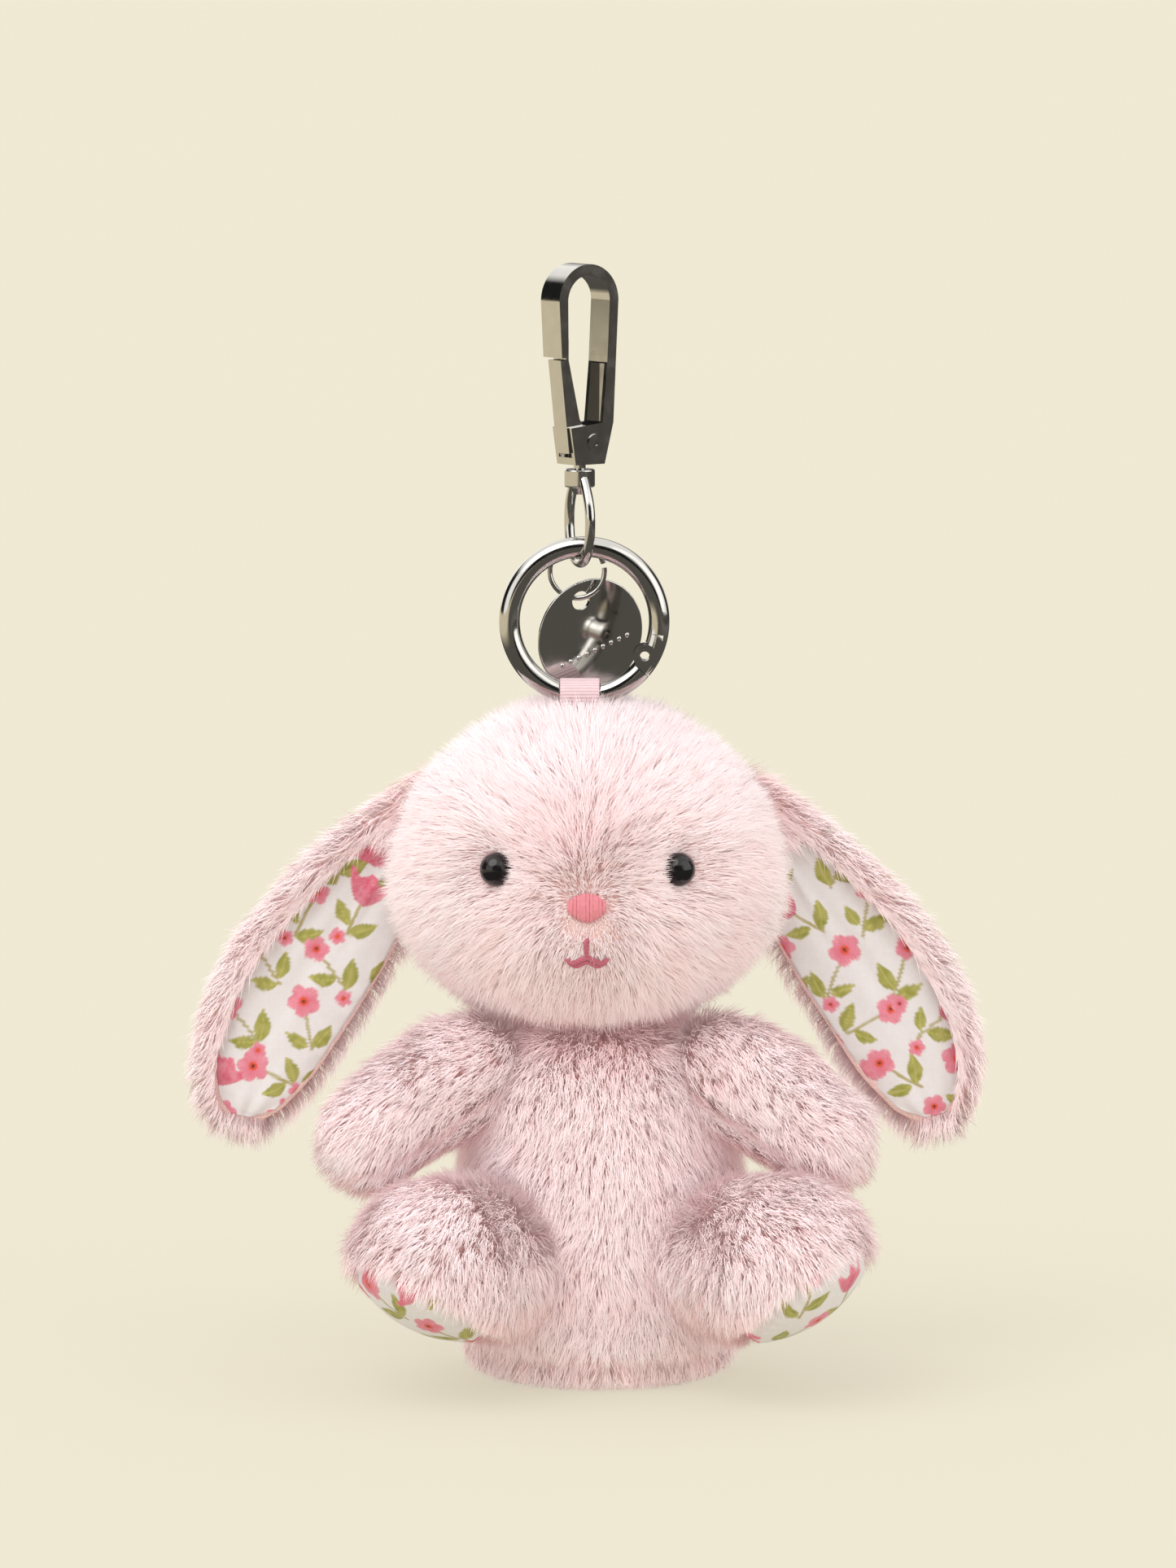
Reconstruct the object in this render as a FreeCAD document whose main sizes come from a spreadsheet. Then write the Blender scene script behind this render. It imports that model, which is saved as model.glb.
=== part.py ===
"""Plush rabbit keychain: a snap hook, a swivel eye, a spring gate ring, a round tag and a small sitting plush rabbit.

The frame hangs from the hook. The origin is the top of the inside of the hook's bow, +Z is up and the rabbit
faces -Y, so every "Drop" in the sheet is a distance below the origin. Lengths are millimetres, angles degrees.
"""
import FreeCAD
import Part
import Sketcher
import math
import os

DOC = FreeCAD.newDocument("plush_keychain")
SHEET = DOC.addObject("Spreadsheet::Sheet", "Sizes")

# Each driving dimension: alias, value, what it is.
DIMENSIONS = [
    ("HookYaw", 37.0, "turn of the hook about the vertical"),
    ("BowOut", 7.1, "outer radius of the hook's bow"),
    ("BowIn", 5.0, "inner radius of the hook's bow"),
    ("StrapWide", 6.0, "width of the hook's flat strap"),
    ("NoseOut", 6.5, "outer face of the hook's nose from the middle"),
    ("NoseIn", 4.9, "inner face of the hook's nose from the middle"),
    ("NoseDrop", 15.8, "lower end of the nose"),
    ("BackStepDrop", 17.0, "step in the back limb"),
    ("BackStepIn", 4.4, "inner face of the back limb at its step"),
    ("CheekDrop", 28.6, "top edge of the cheeks"),
    ("CheekLipDrop", 29.4, "top edge of the cheeks at the gate side"),
    ("CheekBackOut", 5.9, "outer face of the back limb at the cheeks"),
    ("CheekBackIn", 3.3, "inner face of the back limb at the cheeks"),
    ("CheekGateOut", 4.3, "gate side of the cheeks at the top"),
    ("BaseDrop", 36.6, "underside of the hook's base"),
    ("BaseBackOut", 3.8, "back side of the base at the underside"),
    ("BaseGateOut", 3.2, "gate side of the base at the underside"),
    ("ChannelWide", 4.2, "width of the channel between the cheeks"),
    ("ChannelFloorDrop", 35.2, "floor of the channel"),
    ("ChannelFloorBack", 2.7, "back wall of the channel at its floor"),
    ("ChannelBack", 4.8, "back wall of the channel at the cheeks' top"),
    ("GrooveBack", 5.4, "back wall of the limb's groove at its top"),
    ("GrooveDrop", 17.3, "top end of the limb's groove"),
    ("ChannelMouth", 8.0, "how far the channel's cut reaches past the gate side"),
    ("GateWide", 4.0, "width of the hook's gate"),
    ("GateTopDrop", 16.3, "top end of the gate"),
    ("GateTopOut", 6.1, "outer face of the gate at its top"),
    ("GateTopIn", 4.15, "inner face of the gate at its top"),
    ("TongueOut", 4.8, "outer face of the gate's latch tongue"),
    ("TongueDrop", 12.3, "top of the latch tongue"),
    ("GateHeelDrop", 34.4, "lower end of the gate"),
    ("GateHeelOut", 4.05, "outer face of the gate at its lower end"),
    ("GateHeelIn", 2.6, "inner face of the gate at its lower end"),
    ("GateHeelInDrop", 34.15, "where the gate's heel turns to its pivot"),
    ("GateWebIn", 1.5, "inner edge of the gate's web"),
    ("GateWebDrop", 27.8, "top of the gate's web"),
    ("PivotOut", 1.45, "gate pivot from the middle"),
    ("PivotDrop", 32.45, "gate pivot"),
    ("BossRadius", 1.68, "boss around the gate pivot"),
    ("RivetRadius", 1.0, "shaft of the gate rivet"),
    ("RivetHeadRadius", 1.75, "head of the gate rivet"),
    ("RivetHeadThick", 0.3, "head of the gate rivet, proud of the cheek"),
    ("RivetDimple", 0.55, "radius of the dimple in the rivet's head"),
    ("RunningGap", 0.05, "radial clearance of a turning fit"),
    ("HookSpringRadius", 1.27, "mean radius of the gate's spring"),
    ("HookSpringWire", 0.3, "wire of the gate's spring"),
    ("StemRadius", 1.15, "shaft of the swivel stem"),
    ("StemHeadRadius", 1.8, "head of the stem inside the base"),
    ("StemFlareRadius", 1.9, "riveted end of the stem"),
    ("StemFlareDrop", 41.25, "top of the riveted end"),
    ("StemEndDrop", 42.5, "lower end of the stem"),
    ("CollarRadius", 2.95, "collar of the swivel eye"),
    ("CollarTopDrop", 37.6, "top of the collar"),
    ("CollarEndDrop", 41.1, "underside of the collar"),
    ("EyeYaw", 69.6, "turn of the eye's plane about the vertical"),
    ("EyeHalfWide", 5.8, "half width of the eye's wire loop"),
    ("EyeWire", 0.98, "radius of the eye's wire"),
    ("EyeEndDrop", 55.8, "lowest point of the eye's wire, at its middle"),
    ("RingDrop", 67.2, "centre of the gate ring"),
    ("RingSide", 0.9, "centre of the gate ring to the side"),
    ("RingMean", 14.5, "mean radius of the gate ring"),
    ("RingWire", 2.0, "radius of the gate ring's wire"),
    ("RingBodyStart", -10.0, "angle where the ring's full wire begins, past the hinge"),
    ("RingStripEnd", -40.0, "angle where the ring's outer strip ends"),
    ("RingGateStart", -41.0, "angle where the gate's full wire begins"),
    ("RingGateEnd", -76.0, "angle of the gate's free end"),
    ("RingPinAngle", -29.6, "angle of the ring's hinge pin"),
    ("RingPinMean", 13.45, "radius on which the hinge pin sits"),
    ("StripIn", 15.65, "inner radius of the ring's outer strip"),
    ("RingPinRadius", 1.3, "outer radius of the hollow hinge pin"),
    ("RingPinHole", 0.95, "hole through the hinge pin"),
    ("RingPinFlange", 1.75, "rolled rim of the hinge pin"),
    ("RingPinRim", 0.2, "thickness of the rolled rim"),
    ("LugRadius", 2.3, "lugs that hold the hinge pin"),
    ("KnuckleHalf", 1.1, "half the length of the gate's knuckle"),
    ("KnuckleRadius", 2.05, "radius of the gate's knuckle"),
    ("LatchGap", 0.2, "gap at the gate's free end"),
    ("TagRingMean", 5.3, "mean radius of the tag's jump ring"),
    ("TagRingWire", 0.5, "radius of the jump ring's wire"),
    ("TagRingTopDrop", 52.39, "top of the jump ring, at its middle"),
    ("TagRingSide", -0.51, "middle of the jump ring to the side"),
    ("TagRingBack", 2.75, "jump ring behind the gate ring's plane"),
    ("TagRingYaw", -3.3, "turn of the jump ring about the vertical"),
    ("TagRingOpen", 9.0, "angle of the jump ring's open joint"),
    ("TagRadius", 11.4, "radius of the tag"),
    ("TagThick", 0.7, "thickness of the tag"),
    ("TagHoleRadius", 1.9, "hole in the tag"),
    ("TagHoleRise", 7.7, "hole above the tag's centre"),
    ("TagYaw", 28.4, "turn of the tag about the vertical"),
    ("TagLean", 8.8, "lean of the tag, bottom to the back"),
    ("TagRoll", 21.4, "turn of the tag in its own plane"),
    ("TagHoleDrop", 63.43, "centre of the tag's hole"),
    ("TagHoleSide", 0.06, "centre of the tag's hole to the side"),
    ("TagHoleBack", 2.89, "centre of the tag's hole to the back"),
    ("BeadRadius", 0.55, "raised beads on the tag's face"),
    ("RibbonWide", 7.6, "width of the ribbon"),
    ("RibbonThick", 0.4, "thickness of the ribbon"),
    ("RibbonInside", 2.98, "inner radius of the ribbon's loop"),
    ("RibbonAxisDrop", 81.7, "centre of the loop's bend, on the ring's wire"),
    ("RibbonJoinDrop", 86.9, "where the ribbon's two legs meet"),
    ("RibbonEndDrop", 92.5, "lower end of the ribbon inside the head"),
    ("HeadSide", 1.5, "middle of the head to the side"),
    ("HeadBack", 1.45, "middle of the head to the back"),
    ("HeadDrop", 115.3, "middle of the head"),
    ("HeadHalfWide", 33.0, "half width of the head"),
    ("HeadHalfDeep", 28.5, "half depth of the head"),
    ("HeadHalfTall", 28.8, "half height of the head"),
    ("SkinThick", 2.0, "plush fabric with the dense part of its pile"),
    ("EyeApart", 34.2, "distance between the two eyes"),
    ("EyeDrop", 112.7, "height of the eyes below the origin"),
    ("EyeBead", 3.3, "radius of an eye bead"),
    ("EyeStem", 1.1, "radius of an eye's stem"),
    ("EyeStemLong", 9.0, "length of an eye's stem"),
    ("WasherRadius", 4.5, "locking washer behind an eye"),
    ("WasherThick", 1.0, "thickness of the locking washer"),
    ("NoseWide", 8.0, "width of the embroidered nose"),
    ("NoseTall", 6.0, "height of the embroidered nose"),
    ("NoseFaceDrop", 119.3, "height of the nose below the origin"),
    ("MouthDrop", 128.4, "height of the mouth below the origin"),
    ("MouthWide", 8.0, "width of the mouth"),
    ("NoseSide", 1.4, "sideways place of the nose and the mouth"),
    ("ThreadRadius", 0.55, "radius of the embroidery's cord of thread"),
    ("EarThick", 4.2, "thickness of an ear's plush"),
    ("LiningThick", 0.7, "thickness of an ear's cotton lining"),
    ("EarBack", 6.95, "middle of the ears to the back"),
    ("EarCant", 8.0, "turn of an ear's flap towards the back at its outer edge"),
    ("BodySide", 4.0, "middle of the body to the side"),
    ("BodyBack", 3.45, "middle of the body to the back"),
    ("BodyTopDrop", 144.75, "top of the body"),
    ("BodyHipDrop", 190.0, "widest part of the body"),
    ("BodyBaseDrop", 214.7, "flat underside of the body"),
    ("BodyHipRadius", 25.5, "largest radius of the body"),
    ("BodyBaseRadius", 20.5, "radius of the flat underside"),
    ("BasePanelThick", 1.6, "thickness of the base panel"),
    ("ArmRadius", 7.8, "radius of an arm at the paw"),
    ("ArmRootRadius", 9.2, "radius of an arm at the shoulder"),
    ("LegRadius", 15.0, "radius of a leg at the foot"),
    ("LegRootRadius", 10.0, "radius of a leg at the hip"),
    ("SoleRadius", 12.4, "radius of the flat sole"),
    ("SoleRise", 7.6, "sole beyond the foot's widest part"),
    ("PadThick", 0.8, "thickness of the sole's cotton pad"),
    ("TailRadius", 7.5, "radius of the tail"),
    ("TailDrop", 203.0, "height of the tail below the origin"),
    ("WasherSink", 0.45, "depth of each washer behind the skin"),
    ("PlushTall", 215.5, "from the origin down to the surface that the rabbit sits on"),
    ("SoftGap", 0.5, "gap between stuffed pieces on different bodies"),
    ("StemHeadTopDrop", 34.4, "top of the stem's head inside the base"),
    ("GateSpringStart", 0.3, "start of the gate's spring from the middle"),
    ("SpringRoomRadius", 1.78, "room in the gate's boss for its spring"),
    ("SpringRoomBack", 0.85, "middle of the spring's room from the middle"),
    ("SpringRoomWide", 1.5, "length of the spring's room"),
    ("RingSpringRadius", 1.65, "mean radius of the ring gate's spring"),
    ("RingSpringWire", 0.3, "wire of the ring gate's spring"),
    ("RingSpringStart", 0.42, "start of the ring gate's spring from the middle"),
    ("TagRingJoint", 16.0, "angle of the jump ring's open joint from the side"),
]
for row, (alias, value, note) in enumerate(DIMENSIONS, start=2):
    SHEET.set(f"A{row}", note)
    SHEET.set(f"B{row}", str(value))
    SHEET.setAlias(f"B{row}", alias)
DOC.recompute()

NODES = []


def size(alias):
    """The value of one named cell, with a leading minus sign if the name has one."""
    if alias.startswith("-"):
        return -size(alias[1:])
    return float(getattr(SHEET, alias))


def cell(alias):
    """The expression that reads one named cell, with a leading minus sign if the name has one."""
    return f"-Sizes.{alias[1:]}" if alias.startswith("-") else f"Sizes.{alias}"


def vector(x, y, z):
    return FreeCAD.Vector(x, y, z)


def named(feature, node):
    """Gives a document object its node's name and lists it for export."""
    feature.Label = node
    NODES.append(feature)
    return feature


def shaped(node, shape):
    """A node whose shape comes from Part's own functions."""
    feature = DOC.addObject("Part::Feature", "Shape_" + node)
    feature.Shape = shape
    return named(feature, node)


def turned(position, axis, angle):
    return FreeCAD.Placement(position, FreeCAD.Rotation(axis, angle))


UP = vector(0, 0, 1)
ACROSS = vector(1, 0, 0)
BACKWARD = vector(0, 1, 0)


# ---------------------------------------------------------------- sketches

def new_body(node, placement=None):
    """An empty PartDesign body that becomes a node of its own."""
    body = named(DOC.addObject("PartDesign::Body", "Body_" + node), node)
    if placement is not None:
        body.Placement = placement
    return body


def new_sketch(body, name, plane="XZ_Plane"):
    """A sketch on one of the body's own origin planes."""
    sketch = body.newObject("Sketcher::SketchObject", name)
    support = [item for item in body.Origin.OriginFeatures if item.Role == plane][0]
    sketch.AttachmentSupport = (support, "")
    sketch.MapMode = "FlatFace"
    return sketch


def pin_point(sketch, edge, end, across, up):
    """Binds a sketch point's two coordinates to cells. None leaves a coordinate free, "0" puts it on the axis."""
    for kind, alias in (("DistanceX", across), ("DistanceY", up)):
        if alias is None:
            continue
        if alias == "0":
            other_axis = -2 if kind == "DistanceX" else -1
            sketch.addConstraint(Sketcher.Constraint("PointOnObject", edge, end, other_axis))
            continue
        index = sketch.addConstraint(Sketcher.Constraint(kind, -1, 1, edge, end, size(alias)))
        sketch.setExpression(f"Constraints[{index}]", cell(alias))


def value_of(alias):
    return 0.0 if alias == "0" else size(alias)


def closed_outline(sketch, corners, bows=None):
    """Draws a closed outline through named corners.

    corners holds (across, up) pairs of cell names. bows maps a corner's index to the centre of the arc that
    leaves that corner, as (across, up, which of the two to bind, True if the arc runs anticlockwise).
    """
    bows = bows or {}
    points = [vector(value_of(a), value_of(b), 0) for a, b in corners]
    count = len(points)
    for index in range(count):
        start = points[index]
        end = points[(index + 1) % count]
        if index not in bows:
            sketch.addGeometry(Part.LineSegment(start, end), False)
            continue
        across, up, _, anticlockwise = bows[index]
        centre = vector(value_of(across), value_of(up), 0)
        first, last = (start, end) if anticlockwise else (end, start)
        angles = [math.atan2(p.y - centre.y, p.x - centre.x) for p in (first, last)]
        if angles[1] < angles[0]:
            angles[1] += 2 * math.pi
        circle = Part.Circle(centre, UP, (start - centre).Length)
        sketch.addGeometry(Part.ArcOfCircle(circle, angles[0], angles[1]), False)
    for index in range(count):
        following = (index + 1) % count
        leaves_at = 1 if index in bows and not bows[index][3] else 2
        enters_at = 2 if following in bows and not bows[following][3] else 1
        sketch.addConstraint(Sketcher.Constraint("Coincident", index, leaves_at, following, enters_at))
    for index, (across, up) in enumerate(corners):
        starts_at = 2 if index in bows and not bows[index][3] else 1
        pin_point(sketch, index, starts_at, across, up)
    for index, (across, up, bound, _) in bows.items():
        pin_point(sketch, index, 3, across if bound == "across" else None, up if bound == "up" else None)


def round_outline(sketch, across, up, radius):
    """A circle with its centre and radius bound to cells."""
    centre = vector(value_of(across), value_of(up), 0)
    sketch.addGeometry(Part.Circle(centre, UP, size(radius)), False)
    pin_point(sketch, 0, 3, across, up)
    index = sketch.addConstraint(Sketcher.Constraint("Radius", 0, size(radius)))
    sketch.setExpression(f"Constraints[{index}]", cell(radius))


def pad(body, sketch, name, length):
    """A pad to both sides of its sketch, its length bound to an expression."""
    feature = body.newObject("PartDesign::Pad", name)
    feature.Profile = sketch
    feature.Midplane = True
    feature.setExpression("Length", length)
    DOC.recompute()
    return feature


def pocket(body, sketch, name, length):
    """A pocket to both sides of its sketch, which must take material away."""
    before = body.Shape.Volume
    feature = body.newObject("PartDesign::Pocket", name)
    feature.Profile = sketch
    feature.Midplane = True
    feature.setExpression("Length", length)
    DOC.recompute()
    if body.Shape.Volume >= before:
        raise RuntimeError(f"{name} cuts nothing")
    return feature


def revolved(node, corners, bows=None, placement=None):
    """A body turned about its own Z axis from a half outline."""
    body = new_body(node, placement)
    sketch = new_sketch(body, "Half_" + node)
    closed_outline(sketch, corners, bows)
    feature = body.newObject("PartDesign::Revolution", "Turn_" + node)
    feature.Profile = sketch
    feature.ReferenceAxis = (sketch, ["V_Axis"])
    feature.Angle = 360.0
    DOC.recompute()
    return body


# ---------------------------------------------------------------- snap hook

def hook_frame():
    return turned(vector(0, 0, 0), UP, size("HookYaw"))


def build_hook_body():
    """The bow, the back limb with its groove, and the base with two cheeks around the gate's channel."""
    body = new_body("hook_body", hook_frame())
    outline = new_sketch(body, "HookOutline")
    closed_outline(
        outline,
        [("-NoseIn", "-NoseDrop"), ("-NoseOut", "-NoseDrop"), ("-BowOut", "-BowIn"), ("BowOut", "-BowIn"),
         ("CheekBackOut", "-CheekDrop"), ("BaseBackOut", "-BaseDrop"), ("-BaseGateOut", "-BaseDrop"),
         ("-CheekGateOut", "-CheekLipDrop"), ("CheekBackIn", "-CheekDrop"), ("BackStepIn", "-BackStepDrop"),
         ("BowIn", "-BowIn"), ("-BowIn", "-BowIn")],
        {2: ("0", "-BowIn", "up", False), 10: ("0", "-BowIn", "up", True)},
    )
    pad(body, outline, "HookStrap", cell("StrapWide"))
    channel = new_sketch(body, "ChannelOutline")
    closed_outline(
        channel,
        [("-ChannelMouth", "-GateWebDrop"), ("-ChannelMouth", "-ChannelFloorDrop"),
         ("ChannelFloorBack", "-ChannelFloorDrop"), ("ChannelBack", "-CheekDrop"),
         ("GrooveBack", "-GrooveDrop"), ("CheekBackIn", "-GrooveDrop")],
    )
    pocket(body, channel, "GateChannel", cell("ChannelWide"))
    pivot = new_sketch(body, "PivotHole")
    round_outline(pivot, "PivotOut", "-PivotDrop", "RivetRadius")
    pocket(body, pivot, "RivetHole", "2 * Sizes.StrapWide")
    stem = new_sketch(body, "StemHole", "XY_Plane")
    round_outline(stem, "0", "0", "StemRadius")
    before = body.Shape.Volume
    bore = body.newObject("PartDesign::Pocket", "StemBore")
    bore.Profile = stem
    bore.setExpression("Length", "Sizes.BaseDrop + 1")
    DOC.recompute()
    if body.Shape.Volume >= before:
        raise RuntimeError("the stem's hole cuts nothing")
    return body


def build_hook_gate():
    """The lever that closes the hook: a straight plate, a latch tongue, a web and a boss around its rivet."""
    body = new_body("hook_gate", hook_frame())
    plate = new_sketch(body, "GateOutline")
    closed_outline(
        plate,
        [("-TongueOut", "-TongueDrop"), ("-TongueOut", "-GateTopDrop"), ("-GateTopOut", "-GateTopDrop"),
         ("-GateHeelOut", "-GateHeelDrop"), ("-GateHeelIn", "-GateHeelInDrop"),
         ("PivotOut", "-GateHeelInDrop"), ("PivotOut", "-PivotDrop"), ("-GateWebIn", "-GateWebDrop"),
         ("-GateTopIn", "-GateTopDrop"), ("-GateTopIn", "-TongueDrop")],
    )
    pad(body, plate, "GatePlate", cell("GateWide"))
    boss = new_sketch(body, "BossOutline")
    round_outline(boss, "PivotOut", "-PivotDrop", "BossRadius")
    pad(body, boss, "GateBoss", cell("GateWide"))
    bore = new_sketch(body, "GateBoreOutline")
    radius = size("RivetRadius") + size("RunningGap")
    bore.addGeometry(Part.Circle(vector(size("PivotOut"), -size("PivotDrop"), 0), UP, radius), False)
    pin_point(bore, 0, 3, "PivotOut", "-PivotDrop")
    index = bore.addConstraint(Sketcher.Constraint("Radius", 0, radius))
    bore.setExpression(f"Constraints[{index}]", "Sizes.RivetRadius + Sizes.RunningGap")
    pocket(body, bore, "GateBore", "2 * Sizes.GateWide")
    room = new_sketch(body, "SpringRoomOutline")
    round_outline(room, "PivotOut", "-PivotDrop", "SpringRoomRadius")
    room.setExpression("AttachmentOffset.Base.z", "-Sizes.SpringRoomBack")
    pocket(body, room, "SpringRoom", cell("SpringRoomWide"))
    return body


def cylinder(radius, low, high, base, direction):
    """A cylinder that runs from low to high along a direction through a base point."""
    return Part.makeCylinder(radius, high - low, base + direction * low, direction)


def build_gate_rivet():
    """The rivet through both cheeks, with a dimple in each head."""
    half = size("StrapWide") / 2
    thick = size("RivetHeadThick")
    base = vector(size("PivotOut"), 0, -size("PivotDrop"))
    rivet = cylinder(size("RivetRadius"), -half, half, base, BACKWARD)
    for side in (-1, 1):
        outward = BACKWARD * side
        rivet = rivet.fuse(Part.makeCylinder(size("RivetHeadRadius"), thick, base + outward * half, outward))
    for side in (-1, 1):
        outward = BACKWARD * side
        start = base + outward * (half + thick / 2)
        rivet = rivet.cut(Part.makeCylinder(size("RivetDimple"), thick, start, outward))
    rivet.Placement = hook_frame()
    return shaped("gate_rivet", rivet)


def coil(radius, wire, turns):
    """A short close spring about Z: round wire along a smooth curve through points of a helix."""
    pitch = wire * 2.6
    steps = int(turns * 12)
    points = []
    for step in range(steps + 1):
        turned_by = 2 * math.pi * turns * step / steps
        points.append(vector(radius * math.cos(turned_by), radius * math.sin(turned_by), pitch * turns * step / steps))
    spine = Part.BSplineCurve()
    spine.interpolate(points)
    start = spine.value(spine.FirstParameter)
    along = spine.tangent(spine.FirstParameter)[0]
    section = Part.Wire(Part.makeCircle(wire, start, along))
    return Part.Wire(spine.toShape()).makePipeShell([section], True, True)


# ---------------------------------------------------------------- swivel

def build_swivel_stem():
    """The stem that is held in the base's floor and riveted over below the eye's collar."""
    return revolved(
        "swivel_stem",
        [("0", "-StemHeadTopDrop"), ("0", "-StemEndDrop"), ("StemRadius", "-StemEndDrop"),
         ("StemFlareRadius", "-StemFlareDrop"), ("StemRadius", "-StemFlareDrop"),
         ("StemRadius", "-ChannelFloorDrop"), ("StemHeadRadius", "-ChannelFloorDrop"),
         ("StemHeadRadius", "-StemHeadTopDrop")],
    )


def build_swivel_eye():
    """The collar that turns on the stem, and its loop of wire."""
    half = size("EyeHalfWide")
    end = size("EyeEndDrop")
    collar_end = size("CollarEndDrop")
    right = [
        vector(1.9, 0, -(collar_end - 1.9)),
        vector(0.64 * half, 0, -(collar_end + 0.4)),
        vector(0.93 * half, 0, -(collar_end + 3.6)),
        vector(half, 0, -(collar_end + 7.3)),
        vector(0.86 * half, 0, -(end - 3.4)),
        vector(0.49 * half, 0, -(end - 0.85)),
    ]
    left = [vector(-p.x, 0, p.z) for p in reversed(right)]
    spine = Part.BSplineCurve()
    spine.interpolate(right + [vector(0, 0, -end)] + left)
    start = spine.value(spine.FirstParameter)
    along = spine.tangent(spine.FirstParameter)[0]
    section = Part.Wire(Part.makeCircle(size("EyeWire"), start, along))
    loop = Part.Wire(spine.toShape()).makePipeShell([section], True, True)
    collar = cylinder(size("CollarRadius"), -collar_end, -size("CollarTopDrop"), vector(0, 0, 0), UP)
    bevel = 0.35
    collar = collar.makeFillet(bevel, collar.Edges[:1] + collar.Edges[2:])
    bore = cylinder(size("StemRadius") + size("RunningGap"), -size("StemEndDrop"), -30.0, vector(0, 0, 0), UP)
    eye = collar.fuse(loop).cut(bore)
    eye.Placement = turned(vector(0, 0, 0), UP, -size("EyeYaw"))
    return shaped("swivel_eye", eye)


# ---------------------------------------------------------------- gate ring

def ring_centre():
    return vector(size("RingSide"), 0, -size("RingDrop"))


def ring_point(radius, angle):
    """A point of the ring's plane, from its centre, at an angle from +X towards +Z."""
    turn = math.radians(angle)
    return ring_centre() + vector(radius * math.cos(turn), 0, radius * math.sin(turn))


def ring_arc(start, end):
    """The ring's wire between two angles."""
    turn = math.radians(start)
    along = vector(-math.sin(turn), 0, math.cos(turn))
    section = Part.Face(Part.Wire(Part.makeCircle(size("RingWire"), ring_point(size("RingMean"), start), along)))
    return section.revolve(ring_centre(), vector(0, -1, 0), end - start)


def around_pin(radius, half):
    return cylinder(radius, -half, half, ring_point(size("RingPinMean"), size("RingPinAngle")), BACKWARD)


def latch_reach():
    """The distance from the hinge pin to the gate's free end."""
    pin = ring_point(size("RingPinMean"), size("RingPinAngle"))
    return (ring_point(size("RingMean"), size("RingGateEnd")) - pin).Length


def build_ring_body():
    """The fixed part of the ring: its wire, the strip outside the hinge and the lugs that hold the pin."""
    wide = 2 * size("RingWire")
    wire = ring_arc(size("RingBodyStart"), size("RingGateEnd") - 6 + 360)
    end_piece = ring_arc(size("RingGateEnd") - 8, size("RingGateEnd") + 8)
    end_piece = end_piece.cut(around_pin(latch_reach() + size("LatchGap") / 2, wide))
    strip = ring_arc(size("RingStripEnd"), size("RingBodyStart") + 1)
    strip = strip.cut(cylinder(size("StripIn"), -wide, wide, ring_centre(), BACKWARD))
    lugs = around_pin(size("LugRadius"), size("RingWire"))
    link = ring_arc(size("RingPinAngle") - 4, size("RingBodyStart") + 1)
    link = link.common(around_pin(size("LugRadius") + 2.2, size("RingWire")))
    body = wire.fuse([end_piece, strip, lugs, link])
    body = body.cut(around_pin(size("LugRadius") + 0.35, size("KnuckleHalf") + size("RunningGap")))
    body = body.fuse(strip)
    body = body.cut(around_pin(size("RingPinRadius"), wide))
    return shaped("ring_body", body)


def build_ring_gate():
    """The ring's sprung gate, with its knuckle between the lugs."""
    wide = 2 * size("RingWire")
    wire = ring_arc(size("RingGateEnd") - 8, size("RingGateStart"))
    wire = wire.common(around_pin(latch_reach() - size("LatchGap") / 2, wide))
    half = size("KnuckleHalf")
    knuckle = around_pin(size("KnuckleRadius"), half)
    neck = ring_arc(size("RingGateStart") - 1, size("RingPinAngle"))
    slab = cylinder(size("StripIn") - 2 * size("RunningGap"), -half, half, ring_centre(), BACKWARD)
    gate = wire.fuse([knuckle, neck.common(slab)])
    gate = gate.cut(around_pin(size("RingPinRadius") + size("RunningGap"), wide))
    pin = ring_point(size("RingPinMean"), size("RingPinAngle"))
    room = cylinder(size("RingSpringRadius") + size("RingSpringWire"), size("RingSpringStart") - 0.25, half + 1, pin,
                    BACKWARD)
    return shaped("ring_gate", gate.cut(room))


def build_ring_hinge_pin():
    """The hollow pin with a rolled rim at each end."""
    half = size("RingWire")
    rim = size("RingPinRim")
    pin = around_pin(size("RingPinRadius"), half)
    for side in (-1, 1):
        face = ring_point(size("RingPinMean"), size("RingPinAngle")) + BACKWARD * (side * half)
        pin = pin.fuse(Part.makeCylinder(size("RingPinFlange"), rim, face, BACKWARD * side))
    return shaped("ring_hinge_pin", pin.cut(around_pin(size("RingPinHole"), half + 1)))


def build_springs():
    """The two small springs: the hook gate's on its rivet, the ring gate's on its hinge pin."""
    hook_spring = coil(size("HookSpringRadius"), size("HookSpringWire") / 2, 2.25)
    pivot = vector(size("PivotOut"), size("GateSpringStart"), -size("PivotDrop"))
    on_rivet = FreeCAD.Placement(pivot, FreeCAD.Rotation(ACROSS, -90))
    hook_spring.Placement = hook_frame().multiply(on_rivet)
    shaped("gate_spring", hook_spring)
    ring_spring = coil(size("RingSpringRadius"), size("RingSpringWire") / 2, 1.5)
    pin = ring_point(size("RingPinMean"), size("RingPinAngle")) + BACKWARD * size("RingSpringStart")
    ring_spring.Placement = FreeCAD.Placement(pin, FreeCAD.Rotation(ACROSS, -90))
    shaped("ring_gate_spring", ring_spring)


# ---------------------------------------------------------------- tag

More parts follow.
